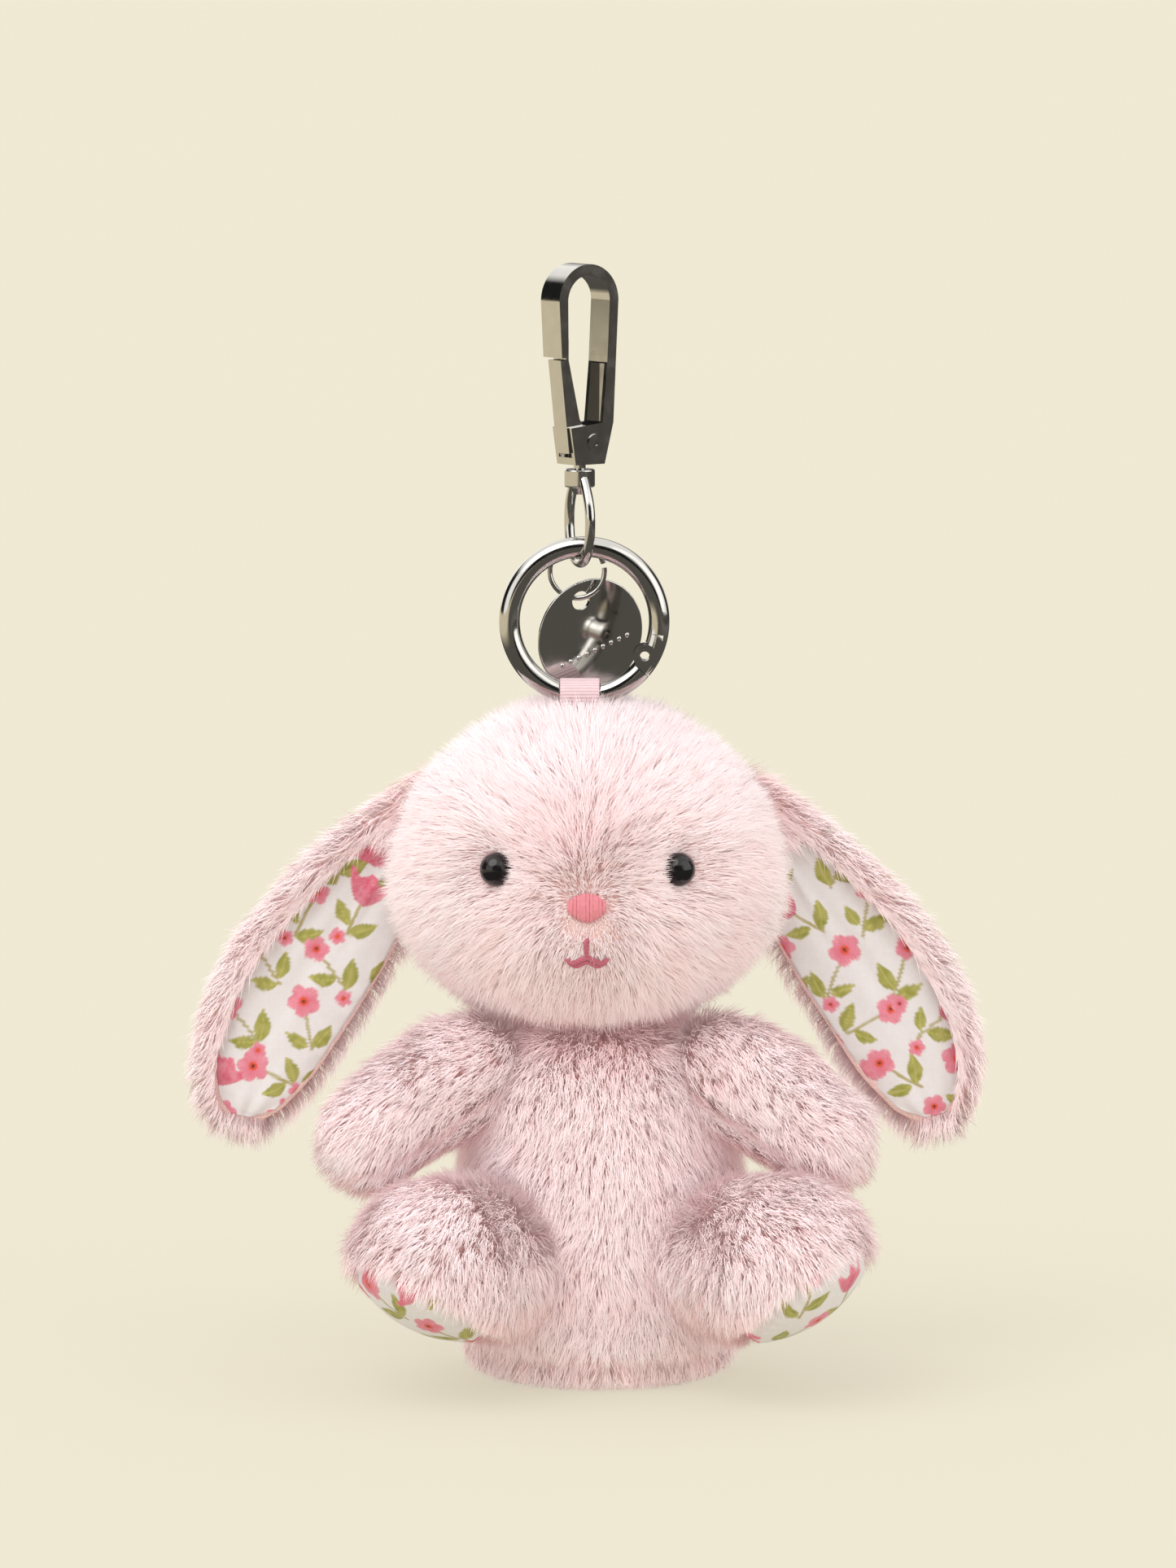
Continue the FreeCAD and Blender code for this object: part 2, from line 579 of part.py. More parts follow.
def build_tag_ring():
    """The open jump ring that carries the tag behind the gate ring."""
    ring = DOC.addObject("Part::Torus", "TagRingTorus")
    ring.setExpression("Radius1", cell("TagRingMean"))
    ring.setExpression("Radius2", cell("TagRingWire"))
    ring.setExpression("Angle3", "360 - Sizes.TagRingOpen")
    centre = vector(size("TagRingSide"), size("TagRingBack"), -size("TagRingTopDrop") - size("TagRingMean"))
    upright = FreeCAD.Rotation(ACROSS, 90)
    joint_at = FreeCAD.Rotation(UP, size("TagRingJoint"))
    yaw = FreeCAD.Rotation(UP, size("TagRingYaw"))
    ring.Placement = FreeCAD.Placement(centre, yaw.multiply(upright).multiply(joint_at))
    DOC.recompute()
    return named(ring, "tag_ring")


def tag_frame():
    """The tag's own frame: its hole's centre, Z out of its front face, Y up the tag."""
    lean = FreeCAD.Rotation(ACROSS, 90 + size("TagLean"))
    yaw = FreeCAD.Rotation(UP, size("TagYaw"))
    hole = vector(size("TagHoleSide"), size("TagHoleBack"), -size("TagHoleDrop"))
    roll = FreeCAD.Rotation(UP, size("TagRoll"))
    return FreeCAD.Placement(hole, yaw.multiply(lean).multiply(roll))


def build_tag_disc():
    """The round tag with a hole near its rim and a row of raised beads across its face."""
    thick = size("TagThick")
    centre = vector(0, -size("TagHoleRise"), -thick / 2)
    disc = Part.makeCylinder(size("TagRadius"), thick, centre)
    disc = disc.makeFillet(thick * 0.28, [disc.Edges[0], disc.Edges[2]])
    disc = disc.cut(Part.makeCylinder(size("TagHoleRadius"), 3 * thick, vector(0, 0, -1.5 * thick)))
    bead_count = 9
    span = 1.3 * size("TagRadius")
    for index in range(bead_count):
        across = span * (index / (bead_count - 1) - 0.5)
        place = vector(across, -size("TagHoleRise") - 3.2, thick / 2 - size("BeadRadius") * 0.35)
        disc = disc.fuse(Part.makeSphere(size("BeadRadius"), place))
    disc.Placement = tag_frame()
    return shaped("tag_disc", disc)


# ---------------------------------------------------------------- ribbon and head

def build_ribbon():
    """The ribbon: once round the ring's wire, its two legs sewn together and set into the head's seam."""
    inner = size("RibbonInside")
    thick = size("RibbonThick")
    half = size("RibbonWide") / 2
    axis = vector(0, 0, -size("RibbonAxisDrop"))
    drop = size("RibbonJoinDrop") - size("RibbonAxisDrop")
    spread = math.asin(inner / drop)

    def loop(radius):
        """The loop's bend with the two straight legs that leave it and meet below."""
        reach = radius / math.sin(spread)
        touch = math.sqrt(reach ** 2 - radius ** 2)
        meet = axis - UP * reach
        corners = [meet]
        for side in (-1, 1):
            corners.append(meet + vector(0, side * touch * math.sin(spread), touch * math.cos(spread)))
        wedge = Part.Face(Part.makePolygon([corners[0], corners[1], axis, corners[2], corners[0]]))
        wedge.translate(ACROSS * -half)
        bend = cylinder(radius, -half, half, axis, ACROSS)
        return bend.fuse(wedge.extrude(ACROSS * (2 * half)))

    end = -size("RibbonEndDrop")
    stem = Part.makeBox(2 * half, 2 * thick, size("RibbonEndDrop") - size("RibbonJoinDrop"),
                        vector(-half, -thick, end))
    return shaped("ribbon_loop", loop(inner + thick).fuse(stem).cut(loop(inner)))


def ellipsoid(half_wide, half_deep, half_tall, centre):
    """A closed ellipsoid, from a sphere scaled along the three axes."""
    scale = FreeCAD.Matrix()
    scale.scale(half_wide, half_deep, half_tall)
    shape = Part.makeSphere(1.0).transformGeometry(scale)
    shape.translate(centre)
    return shape


def head_centre():
    return vector(size("HeadSide"), size("HeadBack"), -size("HeadDrop"))


def head_shape(inset):
    return ellipsoid(size("HeadHalfWide") - inset, size("HeadHalfDeep") - inset, size("HeadHalfTall") - inset,
                     head_centre())


def on_face(across, drop):
    """The point of the head's front surface at a sideways place and a height, and the outward direction there."""
    x = across / size("HeadHalfWide")
    z = (size("HeadDrop") - drop) / size("HeadHalfTall")
    y = -math.sqrt(1 - x * x - z * z)
    outward = vector(x / size("HeadHalfWide"), y / size("HeadHalfDeep"), z / size("HeadHalfTall")).normalize()
    return head_centre() + vector(across, y * size("HeadHalfDeep"), size("HeadDrop") - drop), outward


def eye_places():
    half = size("EyeApart") / 2
    return [("left", *on_face(-half, size("EyeDrop"))), ("right", *on_face(half, size("EyeDrop")))]


def build_eyes():
    """Two safety eyes, each a bead on a stem, and the washers that lock them behind the skin."""
    room = []
    for side, place, outward in eye_places():
        bead = Part.makeSphere(size("EyeBead"), place + outward * 0.6)
        stem = Part.makeCylinder(size("EyeStem"), size("EyeStemLong"), place, outward * -1)
        eye = bead.fuse(stem)
        shaped("eye_bead_" + side, eye)
        washer_at = place - outward * (size("SkinThick") + size("WasherThick") + size("WasherSink"))
        plate = Part.makeCylinder(size("WasherRadius"), size("WasherThick"), washer_at, outward)
        shaped("eye_washer_" + side, plate.cut(stem))
        pressed = Part.makeCylinder(size("WasherRadius"), size("WasherThick") + 2 * size("WasherSink"),
                                    washer_at, outward)
        room.append((eye, pressed))
    return room


def build_face_threads():
    """The satin-stitched nose and the stitched mouth."""
    to_nose = size("NoseSide") - size("HeadSide")
    nose_at, outward = on_face(to_nose, size("NoseFaceDrop"))
    nose = ellipsoid(size("NoseWide") / 2, 1.1, size("NoseTall") / 2, vector(0, 0, 0))
    tilt = FreeCAD.Rotation(vector(0, -1, 0), outward)
    nose.Placement = FreeCAD.Placement(nose_at + outward * 0.3, tilt)
    half = size("MouthWide") / 2
    drops = [(-half, size("MouthDrop") + 0.8), (0, size("MouthDrop") - 0.9), (half, size("MouthDrop") + 0.8)]
    points = [on_face(across + to_nose, drop)[0] for across, drop in drops]
    smile = Part.Arc(points[0], points[1], points[2]).toShape()
    upper, _ = on_face(to_nose, size("MouthDrop") - 5.2)
    philtrum = Part.LineSegment(upper, points[1]).toShape()
    parts = []
    for edge in (smile, philtrum):
        start = edge.valueAt(edge.FirstParameter)
        along = edge.tangentAt(edge.FirstParameter)
        section = Part.Wire(Part.makeCircle(size("ThreadRadius"), start, along))
        parts.append(Part.Wire(edge).makePipeShell([section], True, True))
    mouth = parts[0].fuse(parts[1])
    shaped("nose_embroidery", nose)
    shaped("mouth_embroidery", mouth)
    return [nose, mouth]


def build_head(ribbon):
    """The head's plush skin and its stuffing, with room for the eyes, the stitching and the ribbon."""
    eyes = build_eyes()
    room = build_face_threads() + [ribbon.Shape] + [eye for eye, _ in eyes]
    inner = head_shape(size("SkinThick"))
    shaped("head_skin", head_shape(0).cut(inner).cut(room))
    shaped("head_stuffing", inner.cut(room + [pressed for _, pressed in eyes]))


# ---------------------------------------------------------------- ears

EAR_OUTLINE = [
    (-31.0, 104.0), (-41.0, 111.0), (-52.0, 105.0), (-64.0, 92.0), (-73.0, 76.0), (-77.0, 60.0),
    (-74.0, 49.0), (-66.0, 45.5), (-57.0, 50.0), (-49.5, 62.0), (-42.5, 77.0), (-36.0, 90.0),
]


def ear_flap(side, outline, low, high):
    """A flat flap with a smooth closed outline, between two depths, canted back at its outer edge."""
    points = [vector(x * side * -1, 0, z - size("PlushTall")) for x, z in outline]
    curve = Part.BSplineCurve()
    curve.interpolate(points, PeriodicFlag=True)
    face = Part.Face(Part.Wire(curve.toShape()))
    flap = face.extrude(BACKWARD * (high - low))
    flap.translate(BACKWARD * low)
    root = vector(EAR_OUTLINE[0][0] * side * -1, 0, 0)
    flap.rotate(root, UP, size("EarCant") * side)
    flap.translate(vector(size("HeadSide"), size("EarBack"), 0))
    return flap


def inset_outline(outline, share):
    """The outline drawn in towards its own middle by a share of its size."""
    middle = [sum(p[k] for p in outline) / len(outline) for k in (0, 1)]
    return [(middle[0] + (x - middle[0]) * (1 - share), middle[1] + (z - middle[1]) * (1 - share))
            for x, z in outline]


def build_ears():
    """Each ear: a padded plush flap with a printed cotton lining on its front."""
    thick = size("EarThick")
    for name, side in (("left", -1), ("right", 1)):
        plush = ear_flap(side, EAR_OUTLINE, 0, thick)
        lining = ear_flap(side, inset_outline(EAR_OUTLINE, 0.1), -size("LiningThick"), 0)
        head_room = head_shape(-size("SoftGap"))
        shaped(f"ear_{name}_plush", plush.cut(head_room))
        shaped(f"ear_{name}_lining", lining.cut(head_room))


# ---------------------------------------------------------------- body, limbs and tail

def body_frame():
    return turned(vector(size("BodySide"), size("BodyBack"), 0), UP, 0)


def pear(inset):
    """The sitting body: a pear with a flat underside, as a solid of revolution."""
    top = -size("BodyTopDrop") - inset
    hip = -size("BodyHipDrop")
    base = -size("BodyBaseDrop") + inset
    wide = size("BodyHipRadius") - inset
    flat = size("BodyBaseRadius") - inset
    curve = Part.BSplineCurve()
    curve.interpolate([
        vector(0, 0, top), vector(0.5 * wide, 0, top - 2.6), vector(0.84 * wide, 0, top - 13.0),
        vector(0.96 * wide, 0, 0.5 * (top + hip)), vector(wide, 0, hip), vector(0.97 * wide, 0, hip - 14.0),
        vector(flat, 0, base)])
    edges = [curve.toShape(), Part.makeLine(vector(flat, 0, base), vector(0, 0, base)),
             Part.makeLine(vector(0, 0, base), vector(0, 0, top))]
    shape = Part.Face(Part.Wire(edges)).revolve(vector(0, 0, 0), UP, 360)
    shape.Placement = body_frame()
    return shape


def build_body():
    """The body's skin, its stuffing and the flat panel sewn into its underside."""
    room = Part.makeCylinder(size("BodyBaseRadius") - 0.6, size("BasePanelThick"),
                             body_frame().Base + vector(0, 0, -size("BodyBaseDrop")))
    inner = pear(size("SkinThick"))
    shaped("base_panel", room)
    shaped("body_skin", pear(0).cut(inner).cut(room))
    shaped("body_stuffing", inner.cut(room))


def limb(root_radius, end_radius, length):
    """Two balls and the cone between them, from the root at the origin along +Z."""
    root = Part.makeSphere(root_radius)
    end = Part.makeSphere(end_radius, vector(0, 0, length))
    slope = math.asin((end_radius - root_radius) / length)
    low = root_radius * math.cos(slope)
    high = end_radius * math.cos(slope)
    cone = Part.makeCone(low, high, length - (end_radius - root_radius) * math.sin(slope),
                         vector(0, 0, -root_radius * math.sin(slope)))
    return root.fuse([end, cone]).removeSplitter()


def aimed(root, target):
    """A placement whose origin is the root and whose Z axis points at the target."""
    return FreeCAD.Placement(root, FreeCAD.Rotation(UP, target - root))


def plush_point(across, back, height):
    """A point given from the middle of the head, sideways and to the back, and from the base upwards."""
    return vector(size("HeadSide") + across, size("HeadBack") + back, height - size("PlushTall"))


# Each arm: its shoulder and its paw. Each leg: its hip, its foot and the way its sole faces.
ARMS = {
    "left": ((-25.5, -9.0, 60.0), (-41.5, -15.5, 49.5)),
    "right": ((29.0, -9.0, 60.0), (45.0, -15.5, 49.5)),
}
LEGS = {
    "left": ((-15.0, -19.5, 24.0), (-28.7, -31.5, 26.5), (-0.45, -0.30, -0.84)),
    "right": ((24.5, -19.5, 24.0), (37.7, -31.5, 27.0), (0.55, -0.30, -0.78)),
}


def build_arms():
    """The stuffed arms: skin and stuffing."""
    skin = size("SkinThick")
    for side, places in ARMS.items():
        root, paw = (plush_point(*place) for place in places)
        reach = (paw - root).Length
        outer = limb(size("ArmRootRadius"), size("ArmRadius"), reach)
        inner = limb(size("ArmRootRadius") - skin, size("ArmRadius") - skin, reach)
        room = pear(-size("SoftGap")).fuse(head_shape(-size("SoftGap")))
        for node, shape in ((f"arm_{side}_skin", outer.cut(inner)), (f"arm_{side}_stuffing", inner)):
            shape.Placement = aimed(root, paw)
            shaped(node, shape.cut(room))


def build_legs():
    """The stuffed legs: skin, stuffing and a cotton pad on each flat sole."""
    skin = size("SkinThick")
    for side, (hip, end, facing) in LEGS.items():
        root = plush_point(*hip)
        foot = plush_point(*end)
        outer = limb(size("LegRootRadius"), size("LegRadius"), (foot - root).Length)
        inner = limb(size("LegRootRadius") - skin, size("LegRadius") - skin, (foot - root).Length)
        for shape in (outer, inner):
            shape.Placement = aimed(root, foot)
        sole = aimed(foot, foot + vector(*facing))
        wide = 4 * size("LegRadius")

        def beyond(depth):
            """All that lies past a plane across the foot."""
            block = Part.makeBox(wide, wide, wide, vector(-wide / 2, -wide / 2, depth))
            block.Placement = sole
            return block

        outer = outer.cut(beyond(size("SoleRise")))
        inner = inner.cut(beyond(size("SoleRise") - skin))
        cotton = Part.makeCylinder(size("SoleRadius"), size("PadThick"), vector(0, 0, size("SoleRise")))
        cotton.Placement = sole
        room = pear(-size("SoftGap"))
        shaped(f"leg_{side}_skin", outer.cut(inner).cut(room))
        shaped(f"leg_{side}_stuffing", inner.cut(room))
        shaped(f"foot_pad_{side}", cotton)


def build_tail():
    """The round pompom tail, sewn to the body's back."""
    place = body_frame().Base + vector(0, size("BodyHipRadius") + 3.0, -size("TailDrop"))
    tail = Part.makeSphere(size("TailRadius"), place)
    shaped("tail_pompom", tail.cut(pear(-0.05)))


def check_and_export():
    """Stops at any failed object or empty shape, then writes one STEP file for each node."""
    DOC.recompute()
    failed = [item.Name for item in DOC.Objects if "Invalid" in item.State or "Error" in item.State]
    if failed:
        raise RuntimeError(f"failed objects: {failed}")
    os.makedirs("parts", exist_ok=True)
    for feature in NODES:
        shape = feature.Shape
        if shape.isNull() or not shape.isValid() or not shape.Solids:
            raise RuntimeError(f"{feature.Label} has no valid solid")
        shape.exportStep(f"parts/{feature.Label}.step")
        print(f"{feature.Label:22s} {len(shape.Solids)} solid(s) {shape.Volume:10.1f} mm3")


def main():
    build_hook_body()
    build_hook_gate()
    build_gate_rivet()
    build_swivel_stem()
    build_swivel_eye()
    build_ring_body()
    build_ring_gate()
    build_ring_hinge_pin()
    build_springs()
    build_tag_ring()
    build_tag_disc()
    build_head(build_ribbon())
    build_ears()
    build_body()
    build_arms()
    build_legs()
    build_tail()
    check_and_export()


main()
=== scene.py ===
"""The looks of a small plush rabbit keychain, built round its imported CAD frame.

Sizes in the classes are millimetres. Places come from the frame's boxes and points.
"""

import logging
import math
from collections.abc import Callable
from dataclasses import dataclass, field, replace
from enum import Enum

import bmesh
import bpy
import numpy as np
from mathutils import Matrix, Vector
from mathutils.bvhtree import BVHTree


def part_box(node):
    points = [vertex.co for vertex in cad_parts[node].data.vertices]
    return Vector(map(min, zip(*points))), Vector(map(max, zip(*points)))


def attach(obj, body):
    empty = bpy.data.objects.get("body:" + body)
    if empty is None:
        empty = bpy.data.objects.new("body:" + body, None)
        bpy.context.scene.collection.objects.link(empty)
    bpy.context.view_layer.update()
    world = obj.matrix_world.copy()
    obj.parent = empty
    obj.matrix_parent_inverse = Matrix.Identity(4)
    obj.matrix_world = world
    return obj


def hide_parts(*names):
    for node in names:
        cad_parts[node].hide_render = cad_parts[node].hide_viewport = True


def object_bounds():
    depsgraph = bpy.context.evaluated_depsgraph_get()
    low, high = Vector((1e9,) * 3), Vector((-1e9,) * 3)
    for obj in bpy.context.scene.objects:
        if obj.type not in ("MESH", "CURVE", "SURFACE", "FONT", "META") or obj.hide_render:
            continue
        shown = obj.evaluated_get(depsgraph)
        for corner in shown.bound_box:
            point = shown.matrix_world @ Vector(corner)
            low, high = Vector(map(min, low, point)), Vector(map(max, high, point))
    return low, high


LOG = logging.getLogger("plush_keychain")
MM = 0.001
MOST_STRANDS = 66000
TINY = 1e-9

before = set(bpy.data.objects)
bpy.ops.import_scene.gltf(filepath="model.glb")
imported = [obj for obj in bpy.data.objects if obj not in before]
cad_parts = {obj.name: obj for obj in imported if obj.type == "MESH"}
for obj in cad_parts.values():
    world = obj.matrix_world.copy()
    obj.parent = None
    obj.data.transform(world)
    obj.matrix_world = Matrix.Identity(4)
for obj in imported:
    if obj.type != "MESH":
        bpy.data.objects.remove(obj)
CAD_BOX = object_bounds()
FLOOR_Z = CAD_BOX[0][2] / MM
SHARED: dict[str, bpy.types.NodeTree] = {}

Rows = np.ndarray
Socket = bpy.types.NodeSocket
Colour = tuple[float, float, float]
PLAIN: Colour = (1.0, 1.0, 1.0)
Corners = tuple[tuple[float, float], tuple[float, float]]
Comb = Callable[[Rows, Rows], Rows]
Trim = Callable[[Rows, Rows], Rows]


# ---------------------------------------------------------------- small maths


def unit(rows: Rows) -> Rows:
    """Each row scaled to length one."""
    return rows / np.maximum(np.linalg.norm(rows, axis=-1, keepdims=True), TINY)


def smooth(low: float, high: float, value: Rows) -> Rows:
    """A soft step from 0 at low to 1 at high.

    Args:
        low: where the step starts.
        high: where it ends, which may be below low.
        value: the places to read it at.

    Returns:
        Rows of shares from 0 to 1.
    """
    share = np.clip((value - low) / (high - low), 0.0, 1.0)
    return share * share * (3.0 - 2.0 * share)


def bell(value: Rows, middle: float, wide: float) -> Rows:
    """A soft bump of height one around a middle."""
    return np.exp(-(((value - middle) / wide) ** 2))


def scrambled(cells: Rows, seed: int) -> Rows:
    """Three repeatable numbers from 0 to 1 for each whole-numbered cell.

    Args:
        cells: rows of three whole numbers.
        seed: another seed gives other numbers.

    Returns:
        Rows of three shares.
    """
    whole = cells.astype(np.int64)
    mixed = (whole[:, 0] * 73856093) ^ (whole[:, 1] * 19349663) ^ (whole[:, 2] * 83492791)
    channels = []
    for channel in range(3):
        value = (mixed + 1013 * seed + 7919 * channel) & 0xFFFFFFFF
        for _ in range(2):
            value = ((value ^ (value >> 15)) * 2246822519) & 0xFFFFFFFF
        channels.append((value ^ (value >> 13)) & 0xFFFFFF)
    return np.stack(channels, axis=1) / float(0xFFFFFF)


def drift(points: Rows, cell: float, seed: int) -> Rows:
    """A smooth random field of vectors.

    Args:
        points: places, in millimetres.
        cell: the size of its swirls, in millimetres.
        seed: another seed gives another field.

    Returns:
        Rows of vectors, each part from -1 to 1.
    """
    scaled = points / cell
    base = np.floor(scaled)
    share = scaled - base
    share = share * share * (3.0 - 2.0 * share)
    total = np.zeros_like(points, dtype=float)
    for corner in np.ndindex(2, 2, 2):
        offset = np.array(corner)
        weight = np.prod(np.where(offset == 1, share, 1.0 - share), axis=1)
        total += weight[:, None] * scrambled(base + offset, seed)
    return 2.0 * total - 1.0


def smooth_path(knots: Rows, count: int) -> Rows:
    """A smooth line through knots, as evenly numbered samples.

    Args:
        knots: rows of any width.
        count: how many samples to return.

    Returns:
        The samples, as rows as wide as the knots.
    """
    padded = np.vstack([2 * knots[0] - knots[1], knots, 2 * knots[-1] - knots[-2]])
    place = np.linspace(0, len(knots) - 1, count)
    index = np.minimum(place.astype(int), len(knots) - 2)
    t = (place - index)[:, None]
    p0, p1, p2, p3 = (padded[index + k] for k in range(4))
    return 0.5 * (
        2 * p1 + (p2 - p0) * t + (2 * p0 - 5 * p1 + 4 * p2 - p3) * t**2 + (3 * p1 - p0 - 3 * p2 + p3) * t**3
    )


# ---------------------------------------------------------------- meshes


@dataclass
class Skin:
    """A surface in millimetres: its points and its faces."""

    points: Rows
    faces: list[tuple[int, ...]]

    def triangles(self) -> Rows:
        """The faces, cut into triangles."""
        cut = [(f[0], f[k], f[k + 1]) for f in self.faces for k in range(1, len(f) - 1)]
        return np.array(cut)

    def normals(self) -> Rows:
        """The outward direction at each point.

        Returns:
            Rows of directions.
        """
        triangles = self.triangles()
        a, b, c = (self.points[triangles[:, k]] for k in range(3))
        face = np.cross(b - a, c - a)
        total = np.zeros_like(self.points)
        for corner in range(3):
            np.add.at(total, triangles[:, corner], face)
        return unit(total)

    def made(self, name: str) -> bpy.types.Object:
        """Makes the Blender object of this surface, smooth shaded.

        Args:
            name: the piece's name.

        Returns:
            The piece.
        """
        mesh = bpy.data.meshes.new(name)
        mesh.from_pydata((self.points * MM).tolist(), [], self.faces)
        mesh.polygons.foreach_set("use_smooth", [True] * len(mesh.polygons))
        mesh.update()
        made = bpy.data.objects.new(name, mesh)
        bpy.context.scene.collection.objects.link(made)
        return made

    def tree(self) -> BVHTree:
        """A search tree of this surface, in millimetres."""
        return BVHTree.FromPolygons(self.points.tolist(), self.faces)


def ball(rounds: int) -> Skin:
    """An even ball of radius one.

    Args:
        rounds: how many times its faces are divided.

    Returns:
        The ball's surface.
    """
    shape = bmesh.new()
    bmesh.ops.create_icosphere(shape, subdivisions=rounds, radius=1.0)
    points = np.array([list(v.co) for v in shape.verts])
    faces = [tuple(v.index for v in f.verts) for f in shape.faces]
    shape.free()
    return Skin(points, faces)


def lofted(rings: Rows) -> Skin:
    """A closed surface over rings of points, with each end drawn to a point.

    Args:
        rings: an array of rings, points and coordinates.

    Returns:
        The surface, its faces turned outwards for rings that turn right-handed along their line.
    """
    count, around = rings.shape[:2]
    points = np.vstack([rings.reshape(-1, 3), rings[0].mean(0), rings[-1].mean(0)])
    faces: list[tuple[int, ...]] = []
    for row in range(count - 1):
        for column in range(around):
            a = row * around + column
            b = row * around + (column + 1) % around
            faces.append((a, b, b + around, a + around))
    start, end = count * around, count * around + 1
    last = (count - 1) * around
    for column in range(around):
        after = (column + 1) % around
        faces.append((start, after, column))
        faces.append((end, last + column, last + after))
    return Skin(points, faces)


def patch(grid: Rows) -> Skin:
    """An open sheet over a grid of points.

    Args:
        grid: an array of rows, columns and coordinates.

    Returns:
        The sheet's surface.
    """
    rows, columns = grid.shape[:2]
    faces: list[tuple[int, ...]] = []
    for row in range(rows - 1):
        for column in range(columns - 1):
            a = row * columns + column
            faces.append((a, a + 1, a + columns + 1, a + columns))
    return Skin(grid.reshape(-1, 3), faces)


def tube(line: Rows, radius: float, around: int = 8) -> Skin:
    """A round cord along a line, closed at both ends.

    Args:
        line: points along the cord's middle.
        radius: the cord's radius.
        around: how many points each ring has.

    Returns:
        The cord's surface.
    """
    along = unit(np.gradient(line, axis=0))
    side = unit(np.cross(along, np.array([0.31, 0.87, 0.38])))
    other = np.cross(along, side)
    turn = np.linspace(0, 2 * np.pi, around, endpoint=False)
    swell = radius * np.sqrt(np.clip(1 - np.linspace(-1, 1, len(line)) ** 10, 0.05, 1))
    rings = line[:, None] + swell[:, None, None] * (
        np.cos(turn)[None, :, None] * side[:, None] + np.sin(turn)[None, :, None] * other[:, None]
    )
    return lofted(rings)


def joined(skins: list[Skin]) -> Skin:
    """Several surfaces as one.

    Args:
        skins: the surfaces.

    Returns:
        One surface with all their points and faces.
    """
    points, faces, first = [], [], 0
    for skin in skins:
        points.append(skin.points)
        faces += [tuple(index + first for index in face) for face in skin.faces]
        first += len(skin.points)
    return Skin(np.vstack(points), faces)


def painted(made: bpy.types.Object, name: str, values: Rows) -> None:
    """Stores one number or one colour for each point of an object's mesh.

    Args:
        made: the piece.
        name: the name that materials read the values by.
        values: one number, or one row of three, for each point.
    """
    if values.ndim == 1:
        made.data.attributes.new(name, "FLOAT", "POINT").data.foreach_set("value", values.astype(np.float32))
        return
    full = np.hstack([values, np.ones((len(values), 1))]).astype(np.float32)
    made.data.attributes.new(name, "FLOAT_COLOR", "POINT").data.foreach_set("color", full.ravel())


def node_points(node: str) -> Rows:
    """The points of a CAD node, in millimetres.

    Args:
        node: the node's name.

    Returns:
        Rows of coordinates.
    """
    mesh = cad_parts[node].data
    points = np.empty(len(mesh.vertices) * 3)
    mesh.vertices.foreach_get("co", points)
    return points.reshape(-1, 3) / MM


def box(node: str) -> tuple[Rows, Rows]:
    """The lowest and the highest corner of a CAD node, in millimetres."""
    low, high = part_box(node)
    return np.array(low) / MM, np.array(high) / MM


# ---------------------------------------------------------------- materials


class Tree:
    """A short way to write a node tree."""

    def __init__(self, tree: bpy.types.NodeTree) -> None:
        """Takes the tree that nodes go into."""
        self.tree = tree

    def add(self, kind: str, inputs: dict | None = None, **settings: object) -> bpy.types.Node:
        """Adds a node.

        Args:
            kind: the node's type.
            inputs: a value or a socket to link, by input name or number.
            settings: the node's own settings.

        Returns:
            The node.
        """
        made = self.tree.nodes.new(kind)
        for name, value in settings.items():
            setattr(made, name, value)
        for name, value in (inputs or {}).items():
            if isinstance(value, bpy.types.NodeSocket):
                self.tree.links.new(value, made.inputs[name])
            else:
                made.inputs[name].default_value = value
        return made

    def ramp(self, factor: Socket, stops: list[tuple[float, Colour]]) -> Socket:
        """A colour ramp over a factor.

        Args:
            factor: the socket that picks the colour.
            stops: places from 0 to 1, each with its colour.

        Returns:
            The colour's socket.
        """
        made = self.add("ShaderNodeValToRGB", {"Fac": factor})
        elements = made.color_ramp.elements
        while len(elements) < len(stops):
            elements.new(0.5)
        for element, (place, colour) in zip(elements, stops):
            element.position = place
            element.color = (*colour, 1.0)
        return made.outputs["Color"]

    def mixed(self, factor: object, first: object, second: object, blend: str = "MIX") -> Socket:
        """A mix of two colours.

        Args:
            factor: the second colour's share, as a socket or a number.
            first: a socket or a colour.
            second: a socket or a colour.
            blend: how the second is laid over the first.

        Returns:
            The mix's socket.
        """
        made = self.add("ShaderNodeMix", data_type="RGBA", blend_type=blend, clamp_factor=True)
        for index, value in ((0, factor), (6, first), (7, second)):
            if isinstance(value, bpy.types.NodeSocket):
                self.tree.links.new(value, made.inputs[index])
            elif index == 0:
                made.inputs[index].default_value = value
            else:
                made.inputs[index].default_value = (*value, 1.0)
        return made.outputs[2]

    def maths(self, operation: str, first: object, second: object = 0.0) -> Socket:
        """One sum of two numbers, each given as a socket or as a number."""
        return self.add("ShaderNodeMath", {0: first, 1: second}, operation=operation).outputs[0]


def group(
    name: str, inputs: list[tuple[str, str, object]], outputs: list[tuple[str, str]]
) -> tuple[Tree, dict, dict]:
    """An empty node group with its sockets.

    Args:
        name: the group's name.
        inputs: the name, socket type and default of each input.
        outputs: the name and socket type of each output.

    Returns:
        The tree, the group's inputs by name and its outputs' targets by name.
    """
    made = bpy.data.node_groups.new(name, "ShaderNodeTree")
    for label, kind, value in inputs:
        socket = made.interface.new_socket(name=label, in_out="INPUT", socket_type=kind)
        if value is not None:
            socket.default_value = value
    for label, kind in outputs:
        made.interface.new_socket(name=label, in_out="OUTPUT", socket_type=kind)
    tree = Tree(made)
    entry = tree.add("NodeGroupInput")
    leave = tree.add("NodeGroupOutput")
    return tree, {s.name: s for s in entry.outputs if s.name}, {s.name: s for s in leave.inputs if s.name}


